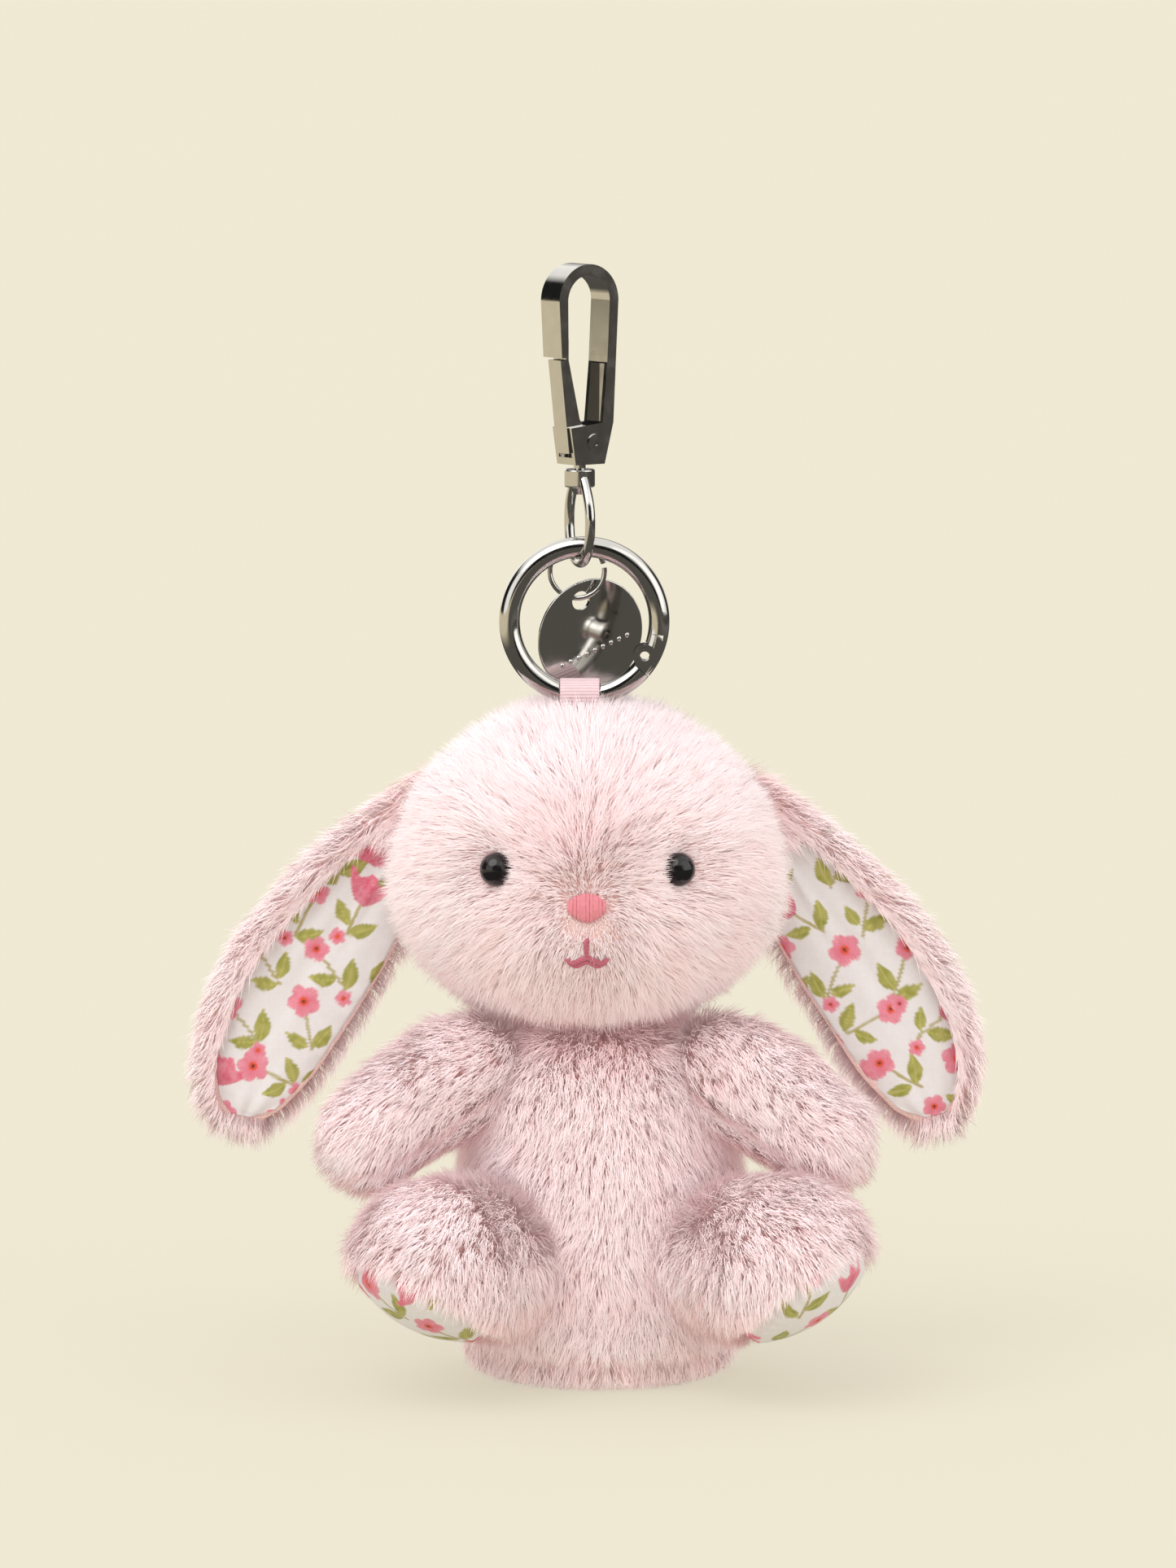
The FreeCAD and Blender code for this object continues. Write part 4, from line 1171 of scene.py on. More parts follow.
@dataclass
class Head:
    """The head: its sculpted plush, its eyes' surrounds and its embroidered face."""

    bead: float = 3.3
    muzzle_out: float = 3.4
    nose_wide: float = 7.0
    nose_tall: float = 5.9
    fur: Fur = field(default_factory=lambda: Fur(density=10.0, length=6.6, seed=11))

    def __post_init__(self) -> None:
        """Reads the head's and the eyes' places from the frame."""
        low, high = box("head_skin")
        self.middle = 0.5 * (low + high)
        self.half = 0.5 * (high - low)
        left_low, left_high = box("eye_bead_left")
        right_low, right_high = box("eye_bead_right")
        self.eyes = np.array([
            [left_low[0] + self.bead, left_low[1] + self.bead, 0.5 * (left_low[2] + left_high[2])],
            [right_high[0] - self.bead, right_low[1] + self.bead, 0.5 * (right_low[2] + right_high[2])],
        ])
        nose_low, nose_high = box("nose_embroidery")
        self.nose_at = 0.5 * (nose_low + nose_high)
        mouth_low, mouth_high = box("mouth_embroidery")
        self.mouth_low, self.mouth_high = mouth_low, mouth_high

    def sculpt(self) -> Skin:
        """A wide ball with full cheeks, a raised muzzle and a shallow dip at each eye.

        Returns:
            The surface.
        """
        skin = ball(6)
        way = skin.points
        x, y, z = way.T
        cheek = 0.07 * bell(z, -0.34, 0.36) * np.abs(x) ** 1.5
        crown = 0.05 * smooth(0.25, 1.0, z)
        points = way * self.half * np.stack([1.0 + cheek - crown, np.ones_like(x), np.ones_like(x)], axis=1)
        front = smooth(0.1, 0.7, -y)
        muzzle = front * np.exp(-((x / 0.40) ** 2 + ((z + 0.42) / 0.34) ** 2))
        points[:, 1] -= self.muzzle_out * muzzle
        points[:, 2] -= 0.6 * muzzle
        brow = front * bell(z, 0.32, 0.22) * bell(x, 0.0, 0.7)
        points[:, 1] -= 0.8 * brow
        points += self.middle
        for eye in self.eyes:
            near = np.exp(-(np.linalg.norm(points - eye, axis=1) / 5.5) ** 2)
            points[:, 1] += 0.9 * near
        points += unit(way) * (0.35 * drift(points, 9.0, 4)[:, :1])
        return Skin(points, skin.faces)

    def comb(self, points: Rows, out: Rows) -> Rows:
        """The pile lies away from the nose, over the forehead to the crown, and down the back.

        Args:
            points: places on the surface.
            out: not used.

        Returns:
            Rows of directions.
        """
        away = unit(points - self.nose_at)
        upper = smooth(self.nose_at[2], self.middle[2] + 0.8 * self.half[2], points[:, 2])[:, None]
        behind = smooth(-0.2, 0.6, (points[:, 1] - self.middle[1]) / self.half[1])[:, None]
        side = np.zeros_like(points)
        side[:, 0] = np.tanh((points[:, 0] - self.middle[0]) / 2.5)
        down = np.array([0.0, 0.0, -1.0])
        falling = 0.40 * (1 - upper) + 0.90 * behind
        return away * (0.9 - 0.75 * behind) + side * (0.30 * upper) + down * falling

    def trim(self, points: Rows, out: Rows) -> Rows:
        """The pile is short round the eyes and the stitching, and gone beneath them.

        Args:
            points: places on the surface.
            out: not used.

        Returns:
            The share of the full length at each.
        """
        share = np.ones(len(points))
        for eye in self.eyes:
            gap = np.linalg.norm(points - eye, axis=1)
            grown = 0.36 + 0.64 * smooth(self.bead, self.bead + 5.0, gap)
            share *= np.where(gap < self.bead + 0.1, 0.0, grown)
        x = points[:, 0] - self.nose_at[0]
        z = points[:, 2] - self.nose_at[2]
        front = points[:, 1] < self.middle[1]
        nose = np.sqrt((x / (0.5 * self.nose_wide)) ** 2 + (z / (0.5 * self.nose_tall)) ** 2)
        share = np.where(front & (nose < 0.8), 0.0, share)
        share = np.where(front, share * (0.30 + 0.70 * smooth(0.9, 3.2, nose)), share)
        mouth_z = 0.5 * (self.mouth_low[2] + self.mouth_high[2]) - self.nose_at[2]
        mouth = np.sqrt((x / 5.5) ** 2 + ((z - mouth_z) / 5.0) ** 2)
        share = np.where(front, share * (0.34 + 0.66 * smooth(0.7, 2.0, mouth)), share)
        ribbon = np.hypot(points[:, 0], points[:, 1]) < 4.2
        return np.where(ribbon & (points[:, 2] > self.middle[2]), share * 0.55, share)

    def painted_shade(self, points: Rows, out: Rows) -> Rows:
        """A deeper pink along the forehead's parting, and painted shade under the chin.

        Args:
            points: places on the surface.
            out: the direction out of it at each.

        Returns:
            How much deeper the colour is at each.
        """
        front = smooth(0.0, 0.5, -out[:, 1])
        x = points[:, 0] - self.middle[0]
        z = (points[:, 2] - self.middle[2]) / self.half[2]
        parting = 0.10 * np.exp(-((x / 9.0) ** 2)) * bell(z, 0.20, 0.42) * front
        # painted shade beneath the head
        under = 0.20 * smooth(-0.75, -1.0, z)
        return parting + under

    @staticmethod
    def face_point(tree: BVHTree, x: float, z: float, proud: float) -> Rows:
        """A point on the front of the face.

        Args:
            tree: the face's search tree.
            x: its place to the side.
            z: its place upward.
            proud: how far it stands off the face.

        Returns:
            The point.
        """
        hit, normal, _, _ = tree.ray_cast(Vector((x, -200.0, z)), Vector((0.0, 1.0, 0.0)))
        out = np.array(normal)
        out = out if out[1] < 0 else -out
        return np.array(hit) + proud * out

    def stitch_nose(self, tree: BVHTree, rows: int = 21) -> None:
        """Embroiders the nose as a satin patch.

        Args:
            tree: the face's search tree.
            rows: how many stitches lie side by side.
        """
        floss = []
        for row in range(rows):
            share = 2.0 * (row + 0.5) / rows - 1.0
            x = self.nose_at[0] + 0.5 * self.nose_wide * share
            tall = 0.5 * self.nose_tall * math.sqrt(1.0 - 0.93 * share * share)
            top, bottom = 0.95 * tall, -tall * (1.0 - 0.25 * abs(share))
            line = []
            for step in np.linspace(-1.0, 1.0, 11):
                z = self.nose_at[2] + (top if step > 0 else -bottom) * step
                proud = 0.5 + 1.0 * math.sqrt(max(0.0, 1.0 - step * step)) * (1.0 - 0.4 * share * share)
                line.append(self.face_point(tree, x + 0.10 * math.sin(9.0 * row), z, proud))
            floss.append(tube(smooth_path(np.array(line), 30), 0.30, 8))
        nose = joined(floss).made("nose_satin_stitch")
        THREAD.on(nose)
        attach(nose, "head")
        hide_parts("nose_embroidery")

    def stitch_mouth(self, tree: BVHTree) -> None:
        """Embroiders the mouth and the line above it as twisted cords.

        Args:
            tree: the face's search tree.
        """
        middle = self.nose_at[0]
        low, high = self.mouth_low[2], self.mouth_high[2]
        wide = 0.42 * (self.mouth_high[0] - self.mouth_low[0])
        above = 0.5 * (low + high)
        curves = [
            ((-1.0, 0.9), (-0.6, 0.3), (0.0, 1.3), (0.6, 0.3), (1.0, 0.9)),
            ((-0.9, 0.4), (-0.5, -0.3), (0.0, 0.5), (0.5, -0.3), (0.9, 0.4)),
        ]
        lines = [[(middle + across * wide, low + up) for across, up in curve] for curve in curves]
        lines.append([(middle + 0.1, above + 1.2), (middle - 0.1, above + 0.2), (middle, low + 1.2)])
        cords = []
        for places in lines:
            path = smooth_path(np.array([self.face_point(tree, x, z, 1.35) for x, z in places]), 60)
            turns = np.linalg.norm(np.diff(path, axis=0), axis=1).sum() / 1.6
            for ply in range(3):
                turn = np.linspace(0, 2 * np.pi * turns, 60) + ply * 2.09
                twist = 0.20 * np.stack([np.cos(turn), 0 * turn, np.sin(turn)], axis=1)
                cords.append(tube(path + twist, 0.36, 7))
        mouth = joined(cords).made("mouth_cord_stitch")
        DARK_THREAD.on(mouth)
        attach(mouth, "head")
        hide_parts("mouth_embroidery")

    def build(self) -> None:
        """Makes the head's plush, its pile and its face."""
        skin = self.sculpt()
        stuffed(skin, "head_plush", "head", ("head_skin", "head_stuffing"))
        self.fur.grow("head_pile", skin, self.comb, self.trim, "head", self.painted_shade)
        tree = skin.tree()
        self.stitch_nose(tree)
        self.stitch_mouth(tree)
        for side in ("left", "right"):
            BEAD.on_node("eye_bead_" + side)
            WASHER.on_node("eye_washer_" + side)


@dataclass
class Torso:
    """The sitting body: a full pear with a sewn flat underside."""

    seam_up: float = 7.0
    fur: Fur = field(default_factory=lambda: Fur(density=9.0, length=6.2, lean=0.80, seed=21))
    tail_fur: Fur = field(default_factory=lambda: Fur(density=10.0, length=5.0, lean=0.62, seed=31))

    def __post_init__(self) -> None:
        """Reads the body's place from the frame."""
        self.low, self.high = box("body_skin")
        self.middle = 0.5 * (self.low + self.high)
        self.radius = 0.5 * (self.high[0] - self.low[0])

    def sculpt(self) -> Skin:
        """Rings from the neck to the flat underside, with a groove at the underside's seam.

        Returns:
            The surface.
        """
        heights = np.array([0.0, 0.03, 0.10, 0.22, 0.38, 0.55, 0.72, 0.86, 0.93, 0.975, 1.0])
        widths = np.array([0.18, 0.50, 0.74, 0.90, 0.97, 1.0, 1.01, 0.98, 0.93, 0.84, 0.70])
        profile = smooth_path(np.stack([heights, widths], axis=1), 110)
        turn = np.linspace(0, 2 * np.pi, 120, endpoint=False)
        tall = self.high[2] - self.low[2]
        rings = []
        for share, wide in profile:
            z = self.high[2] - share * tall
            groove = 1.3 * math.exp(-(((z - self.low[2] - self.seam_up) / 1.3) ** 2))
            radius = self.radius * wide - groove
            belly = 1.4 * math.exp(-(((share - 0.66) / 0.25) ** 2))
            x = self.middle[0] + radius * np.cos(turn)
            y = self.middle[1] + radius * np.sin(turn) * 0.98 - belly * np.clip(-np.sin(turn), 0, 1)
            rings.append(np.stack([x, y, np.full_like(x, z)], axis=1))
        skin = lofted(np.array(rings)[::-1])
        free = smooth(self.low[2], self.low[2] + 4.0, skin.points[:, 2])[:, None]
        skin.points += 0.4 * drift(skin.points, 10.0, 8) * free
        return skin

    def comb(self, points: Rows, out: Rows) -> Rows:
        """The pile lies down the body, a little away from its middle.

        Args:
            points: places on the surface.
            out: not used.

        Returns:
            Rows of directions.
        """
        flow = np.tile(np.array([0.0, 0.0, -1.0]), (len(points), 1))
        flow[:, 0] += 0.15 * (points[:, 0] - self.middle[0]) / self.radius
        under = points[:, 2] < self.low[2] + 0.6
        flow[under] = unit((points[under] - self.middle) * np.array([1.0, 1.0, 0.0]))
        return flow

    def trim(self, points: Rows, out: Rows) -> Rows:
        """The pile is short in the underside's seam, and the underside has none.

        Args:
            points: places on the surface.
            out: the direction out of it at each.

        Returns:
            The share of the full length at each.
        """
        share = 1.0 - 0.55 * bell(points[:, 2], self.low[2] + self.seam_up, 1.2)
        return np.where(out[:, 2] < -0.75, 0.0, share)

    def painted_shade(self, points: Rows, out: Rows) -> Rows:
        """Painted shade: a deeper pink in the seam's groove, at the neck under the head and near the floor.

        Args:
            points: places on the surface.
            out: not used.

        Returns:
            How much deeper the colour is at each.
        """
        seam = 0.5 * bell(points[:, 2], self.low[2] + self.seam_up, 1.4)
        neck = 0.35 * smooth(self.high[2] - 12.0, self.high[2], points[:, 2])
        foot = 0.35 * smooth(self.low[2] + 5.0, self.low[2], points[:, 2])
        return seam + neck + foot

    def build(self) -> None:
        """Makes the body's plush, its pile and its tail."""
        skin = self.sculpt()
        stuffed(skin, "body_plush", "torso", ("body_skin", "body_stuffing", "base_panel"))
        self.fur.grow("body_pile", skin, self.comb, self.trim, "torso", self.painted_shade)
        self.tail()

    def tail(self) -> None:
        """Makes the tail's puff and its pile."""
        low, high = box("tail_pompom")
        tail = ball(4)
        tail.points = 0.5 * (low + high) + tail.points * 0.5 * (high - low).max() * 0.92
        stuffed(tail, "tail_plush", "torso", ("tail_pompom",))
        self.tail_fur.grow("tail_pile", tail, self.comb_tail, whole, "torso")

    @staticmethod
    def comb_tail(points: Rows, out: Rows) -> Rows:
        """The tail's pile falls down and out to its sides."""
        return np.array([0.0, 0.0, -1.0]) + 0.5 * drift(points, 5.0, 33)


def limb(line: Rows, radii: Rows, around: int = 72) -> Skin:
    """A soft limb with round ends.

    Args:
        line: knots of its middle line.
        radii: its radius at each knot.
        around: how many points each ring has.

    Returns:
        The limb's surface.
    """
    knots = smooth_path(np.hstack([line, radii[:, None]]), 60)
    spine, wide = knots[:, :3], knots[:, 3]
    first, last = unit(spine[0] - spine[1]), unit(spine[-1] - spine[-2])
    caps = np.linspace(0.0, 0.5 * np.pi, 16)[1:]
    head = [(spine[0] + first * wide[0] * math.sin(a), wide[0] * math.cos(a)) for a in caps[:-1][::-1]]
    tail = [(spine[-1] + last * wide[-1] * math.sin(a), wide[-1] * math.cos(a)) for a in caps[:-1]]
    places = [p for p, _ in head] + list(spine) + [p for p, _ in tail]
    sizes = np.array([r for _, r in head] + list(wide) + [r for _, r in tail])
    path = np.array(places)
    along = unit(np.gradient(path, axis=0))
    side = unit(np.cross(along, np.array([0.0, 1.0, 0.15])))
    other = np.cross(along, side)
    turn = np.linspace(0, 2 * np.pi, around, endpoint=False)
    rings = path[:, None] + sizes[:, None, None] * (
        np.cos(turn)[None, :, None] * side[:, None] + np.sin(turn)[None, :, None] * other[:, None]
    )
    return lofted(rings)


@dataclass
class Arm:
    """One stuffed arm, from its shoulder seam to its paw."""

    side: str
    shoulder: float = 9.4
    paw: float = 7.9
    fur: Fur = field(default_factory=lambda: Fur(density=10.0, length=6.0, lean=0.78, seed=41))

    def __post_init__(self) -> None:
        """Reads the arm's place from the frame."""
        low, high = box(f"arm_{self.side}_skin")
        inward = 1.0 if self.side == "left" else -1.0
        inner, outer = (high[0], low[0]) if self.side == "left" else (low[0], high[0])
        shoulder, paw = self.shoulder, self.paw
        self.root = np.array([inner - inward * shoulder, high[1] - shoulder, high[2] - shoulder])
        self.end = np.array([outer + inward * paw, low[1] + paw, low[2] + paw])
        self.inward = inward

    def sculpt(self) -> Skin:
        """A slightly bent limb with a shallow crease along its seam.

        Returns:
            The surface.
        """
        along = self.end - self.root
        start = self.root + np.array([self.inward * 3.0, 1.0, 1.5])
        bent = self.root + 0.5 * along + np.array([0.0, -0.6, 0.9])
        radii = np.array([8.6, self.shoulder, 8.9, self.paw])
        skin = limb(np.array([start, self.root, bent, self.end]), radii)
        axis = unit(along)
        radial = skin.points - self.root
        radial = radial - np.outer(radial @ axis, axis)
        seam_way = unit(np.array([0.0, -0.75, -0.65]))
        angle = unit(radial) @ unit(seam_way - axis * (seam_way @ axis))
        crease = smooth(0.965, 1.0, angle)
        skin.points -= unit(radial) * (1.5 * crease)[:, None]
        skin.points += 0.35 * drift(skin.points, 8.0, 12)
        return skin

    def comb(self, points: Rows, out: Rows) -> Rows:
        """The pile lies along the arm to its paw, and a little down."""
        return np.tile(unit(self.end - self.root) + np.array([0.0, 0.0, -0.35]), (len(points), 1))

    def painted_shade(self, points: Rows, out: Rows) -> Rows:
        """Painted shade: a deeper pink on the arm's underside."""
        return 0.32 * smooth(0.2, 0.95, -out[:, 2])

    def build(self) -> None:
        """Makes the arm's plush and its pile."""
        skin = self.sculpt()
        arm = "arm_" + self.side
        stuffed(skin, arm + "_plush", arm, (arm + "_skin", arm + "_stuffing"))
        self.fur.seed += len(self.side)
        self.fur.grow(arm + "_pile", skin, self.comb, whole, arm, self.painted_shade)


@dataclass
class Leg:
    """One stuffed leg, and the printed cotton pad on its flat sole."""

    side: str
    figures: list[Figure]
    hip: float = 10.5
    foot: float = 15.0
    rise: float = 7.6
    reach: float = 18.3
    dome: float = 4.4
    wrap: float = 1.9
    fur: Fur = field(default_factory=lambda: Fur(density=9.5, length=6.0, lean=0.76, seed=51))

    def __post_init__(self) -> None:
        """Reads the sole's place and the way it faces from its cotton pad."""
        points = node_points(f"foot_pad_{self.side}")
        self.pad_at = 0.5 * (points.min(0) + points.max(0))
        _, _, axes = np.linalg.svd(points - points.mean(0), full_matrices=False)
        self.facing = axes[2] if axes[2][2] < 0 else -axes[2]
        self.pad_radius = 0.5 * (np.ptp((points - self.pad_at) @ axes[0]))
        self.foot_at = self.pad_at - self.facing * (self.rise + 0.4)
        body_low, body_high = box("body_skin")
        towards = 0.5 * (body_low + body_high) - self.foot_at
        towards[2] = -2.5
        self.hip_at = self.foot_at + unit(towards) * self.reach

    def sculpt(self) -> Skin:
        """A limb that grows to a full foot, pressed flat at its sole.

        Returns:
            The surface.
        """
        knee = 0.5 * (self.hip_at + self.foot_at) + np.array([0, 0, 0.5])
        line = np.array([self.hip_at, knee, self.foot_at])
        skin = limb(line, np.array([self.hip, 0.5 * (self.hip + self.foot) + 0.6, self.foot]), 96)
        past = (skin.points - self.foot_at) @ self.facing - self.rise
        skin.points -= np.outer(np.maximum(past, 0.0), self.facing)
        wavy = smooth(1.0, -3.0, past)
        skin.points += 0.35 * drift(skin.points, 9.0, 17) * wavy[:, None]
        return skin

    def sole_distance(self, points: Rows) -> tuple[Rows, Rows]:
        """Where points are from the sole.

        Args:
            points: rows of places.

        Returns:
            How far each is in front of the sole, and how far from its middle line.
        """
        gap = points - self.pad_at
        ahead = gap @ self.facing
        return ahead, np.linalg.norm(gap - np.outer(ahead, self.facing), axis=1)

    def trim(self, points: Rows, out: Rows) -> Rows:
        """No pile grows under the cotton pad, and it is shorter at the pad's seam.

        Args:
            points: places on the surface.
            out: not used.

        Returns:
            The share of the full length at each.
        """
        ahead, away = self.sole_distance(points)
        under = (ahead > -3.2) & (away < self.pad_radius + self.wrap - 0.6)
        rim = bell(ahead, -0.5, 2.5) * bell(away, self.pad_radius, 2.0)
        lower = smooth(1.0, -5.0, points[:, 2] - self.pad_at[2]) * smooth(-6.0, -1.5, ahead)
        return np.where(under, 0.0, (1.0 - 0.35 * rim) * (1.0 - 0.70 * lower))

    def comb(self, points: Rows, out: Rows) -> Rows:
        """The pile lies along the leg to its foot, and down.

        Args:
            points: places on the surface.
            out: the direction out of it at each.

        Returns:
            Rows of directions.
        """
        lift = np.clip(out[:, 2:], 0.0, 1.0)
        down = np.array([0.0, 0.0, -1.0])
        return unit(self.foot_at - self.hip_at) * (0.25 + 0.9 * lift) + down * (1.0 - 0.6 * lift)

    def painted_shade(self, points: Rows, out: Rows) -> Rows:
        """Painted shade: a deeper pink beneath the leg and in the pad's seam.

        Args:
            points: places on the surface.
            out: the direction out of it at each.

        Returns:
            How much deeper the colour is at each.
        """
        ahead, _ = self.sole_distance(points)
        return 0.30 * smooth(0.1, 0.9, -out[:, 2]) + 0.15 * bell(ahead, -0.5, 2.0)

    def pad(self) -> None:
        """Makes the cotton pad: a shallow dome with small puckers at its sewn edge."""
        side = unit(np.cross(self.facing, np.array([0.0, 0.0, 1.0])))
        up = np.cross(side, self.facing)
        shares = np.linspace(0.0, 1.0, 60)
        turn = np.linspace(0, 2 * np.pi, 181)
        share, angle = np.meshgrid(shares, turn, indexing="ij")
        radius = share * (self.pad_radius + self.wrap)
        round_foot = (self.foot + 0.45) ** 2
        wrapped = np.sqrt(round_foot - np.maximum(radius, self.pad_radius) ** 2)
        wrapped = wrapped - math.sqrt(round_foot - self.pad_radius**2)
        pucker = 0.16 * np.sin(26 * angle + 2 * np.sin(3 * angle))
        pucker = pucker * smooth(0.6, 0.95, share) * smooth(1.02, 0.95, share)
        height = self.dome * (1 - share**2) + pucker + wrapped - 0.9 * smooth(0.95, 1.0, share) + 0.35
        x, z = radius * np.cos(angle), radius * np.sin(angle)
        grid = self.pad_at + side * x[..., None] + up * z[..., None] + self.facing * height[..., None]
        skin = patch(grid)
        made = skin.made(f"foot_pad_{self.side}_cotton")
        painted(made, "print", Print(self.figures, seed=7 + len(self.side)).paint(x.ravel(), z.ravel()))
        COTTON.on(made)
        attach(made, "leg_" + self.side)
        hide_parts(f"foot_pad_{self.side}")

    def build(self) -> None:
        """Makes the leg's plush, its pile and its cotton pad."""
        skin = self.sculpt()
        leg = "leg_" + self.side
        stuffed(skin, leg + "_plush", leg, (leg + "_skin", leg + "_stuffing"))
        self.fur.seed += len(self.side)
        self.fur.grow(leg + "_pile", skin, self.comb, self.trim, leg, self.painted_shade)
        self.pad()


@dataclass
class Ear:
    """One lop ear: a padded plush flap, rolled over the outer edge of its printed cotton lining."""

    side: str
    figures: list[Figure]
    back: float = 3.6
    front: float = 1.3
    samples: int = 70
    fur: Fur = field(default_factory=lambda: Fur(density=10.0, length=5.8, lean=0.74, seed=61))
    stations: tuple[tuple[float, float, float], ...] = (
        (-0.10, -0.03, 5.0), (0.08, 0.08, 7.0), (0.24, 0.225, 10.0), (0.40, 0.375, 12.0),
        (0.58, 0.555, 12.8), (0.73, 0.75, 11.4), (0.80, 0.885, 8.0), (0.83, 0.965, 3.4),
    )

    def __post_init__(self) -> None:
        """Reads the ear's plane and its outline's box from the frame."""
        low, high = box(f"ear_{self.side}_plush")
        self.inner, self.outer = (high[0], low[0]) if self.side == "left" else (low[0], high[0])
        self.top, self.bottom = high[2], low[2]
        points = node_points(f"ear_{self.side}_plush")
        _, _, axes = np.linalg.svd(points - points.mean(0), full_matrices=False)
        self.behind = axes[2] if axes[2][1] > 0 else -axes[2]
        self.plane_at = points.mean(0)
        self.sign = -1.0 if self.side == "left" else 1.0

    def on_plane(self, x: Rows, z: Rows) -> Rows:
        """Points of the ear's middle plane.

        Args:
            x: sideways places.
            z: upward places.

        Returns:
            Rows of points.
        """
        slope = self.behind[0] * (x - self.plane_at[0]) + self.behind[2] * (z - self.plane_at[2])
        return np.stack([x, self.plane_at[1] - slope / self.behind[1], z], axis=-1)

    def frame_at(self, count: int) -> tuple[Rows, Rows, Rows, Rows]:
        """The ear's middle line and what goes with it.

        Args:
            count: how many samples to take.

        Returns:
            The line, the outward direction, the half width and the length share at each sample.
        """
        knots = smooth_path(np.array(self.stations), count)
        x = self.inner + (self.outer - self.inner) * knots[:, 0]
        z = self.top + (self.bottom - self.top) * knots[:, 1]
        line = self.on_plane(x, z)
        along = unit(np.gradient(line, axis=0))
        outward = unit(np.cross(along, self.behind)) * self.sign
        outward = np.where((outward @ np.array([self.sign, 0.0, 0.4]))[:, None] < 0, -outward, outward)
        return line, outward, knots[:, 2], np.linspace(0, 1, count)

    def front_depth(self, t: Rows) -> Rows:
        """How far the ear's front stands off its middle plane, by its place across."""
        rim = 2.0 * bell(t, 0.93, 0.13)
        return (self.front + rim) * np.sqrt(np.clip(1.0 - np.abs(t) ** 3.2, 0.0, 1.0))

    def sculpt(self) -> Skin:
        """Rings along the ear, flatter at the front and full at the back.

        Returns:
            The surface.
        """
        line, outward, wide, _ = self.frame_at(self.samples)
        turn = np.linspace(0, 2 * np.pi, 88, endpoint=False) * -self.sign
        across, depth = np.cos(turn), np.sin(turn)
        fill = np.clip(wide / 8.0, 0.3, 1.0)
        rings = []
        for index in range(len(line)):
            front = -self.front_depth(across)
            back = self.back * np.abs(depth) ** 0.8
            off = np.where(depth < 0, front, back) * fill[index]
            ring = line[index] + outward[index] * (wide[index] * across)[:, None]
            rings.append(ring + self.behind * off[:, None])
        skin = lofted(np.array(rings))
        volume = skin.points - skin.points.mean(0)
        if (skin.normals() * volume).sum() < 0:
            skin.faces = [face[::-1] for face in skin.faces]
        skin.points += 0.3 * drift(skin.points, 8.0, 23)
        return skin

    def lining_share(self, points: Rows) -> tuple[Rows, Rows]:
        """Where points are along and across the ear.

        Args:
            points: rows of places.

        Returns:
            Each point's length share, and its place from -1 at the inner edge to 1 at the outer.
        """
        line, outward, wide, share = self.frame_at(self.samples)
        gaps = points[:, None, :] - line[None]
        nearest = (gaps**2).sum(2).argmin(1)
        gap = gaps[np.arange(len(points)), nearest]
        return share[nearest], (gap * outward[nearest]).sum(1) / wide[nearest]

    def trim(self, points: Rows, out: Rows) -> Rows:
        """No pile grows under the lining.

        Args:
            points: places on the surface.
            out: the direction out of it at each.

        Returns:
            The share of the full length at each.
        """
        s, t = self.lining_share(points)
        covered = (out @ self.behind < 0.25) & (t > -1.1) & (t < 0.70) & (s > 0.20) & (s < 0.955)
        return np.where(covered, 0.0, 1.0)

    def comb(self, points: Rows, out: Rows) -> Rows:
        """The pile lies along the ear to its tip, and out over its edge.

        Args:
            points: places on the surface.
            out: not used.

        Returns:
            Rows of directions.
        """
        line, outward, _, _ = self.frame_at(self.samples)
        along = unit(np.gradient(line, axis=0))
        s, t = self.lining_share(points)
        last = self.samples - 1
        index = np.clip((s * last).astype(int), 0, last)
        return along[index] + 0.55 * outward[index] * t[:, None] + np.array([0.0, 0.0, -0.3])

    def painted_shade(self, points: Rows, out: Rows) -> Rows:
        """Painted shade: a deeper pink where the ear joins the head.

        Args:
            points: places on the surface.
            out: not used.

        Returns:
            How much deeper the colour is at each.
        """
        s, _ = self.lining_share(points)
        return 0.3 * smooth(0.22, 0.05, s)

    def lining_depth(self, s: Rows, t: Rows, border: Rows, fill: Rows) -> Rows:
        """How far the lining stands off the ear's middle plane, with its tuck, puckers and folds.

        Args:
            s: length shares.
            t: places across, from -1 to 1.
            border: how near each place is to the seam, as a share.
            fill: how full the ear is there.

        Returns:
            The depth at each place.
        """
        tuck = 1.1 * smooth(0.07, 0.0, border)
        pucker = 0.14 * np.sin(95.0 * s + 3 * np.sin(11 * s)) * smooth(0.28, 0.05, border)
        fold = 0.7 * bell(t, -0.15 + 0.5 * (0.4 - s), 0.10) * smooth(0.52, 0.2, s)
        fold = fold + 0.35 * bell(t, 0.35, 0.08) * smooth(0.4, 0.22, s)
        places = np.stack([9 * s.ravel(), 4 * t.ravel(), 0 * s.ravel()], axis=1)
        calm = 0.30 * drift(places, 1.0, 5)[:, 0].reshape(s.shape)
        return -(self.front_depth(np.clip(t, -0.999, 0.999)) * fill + 0.45 + pucker + fold + calm - tuck)

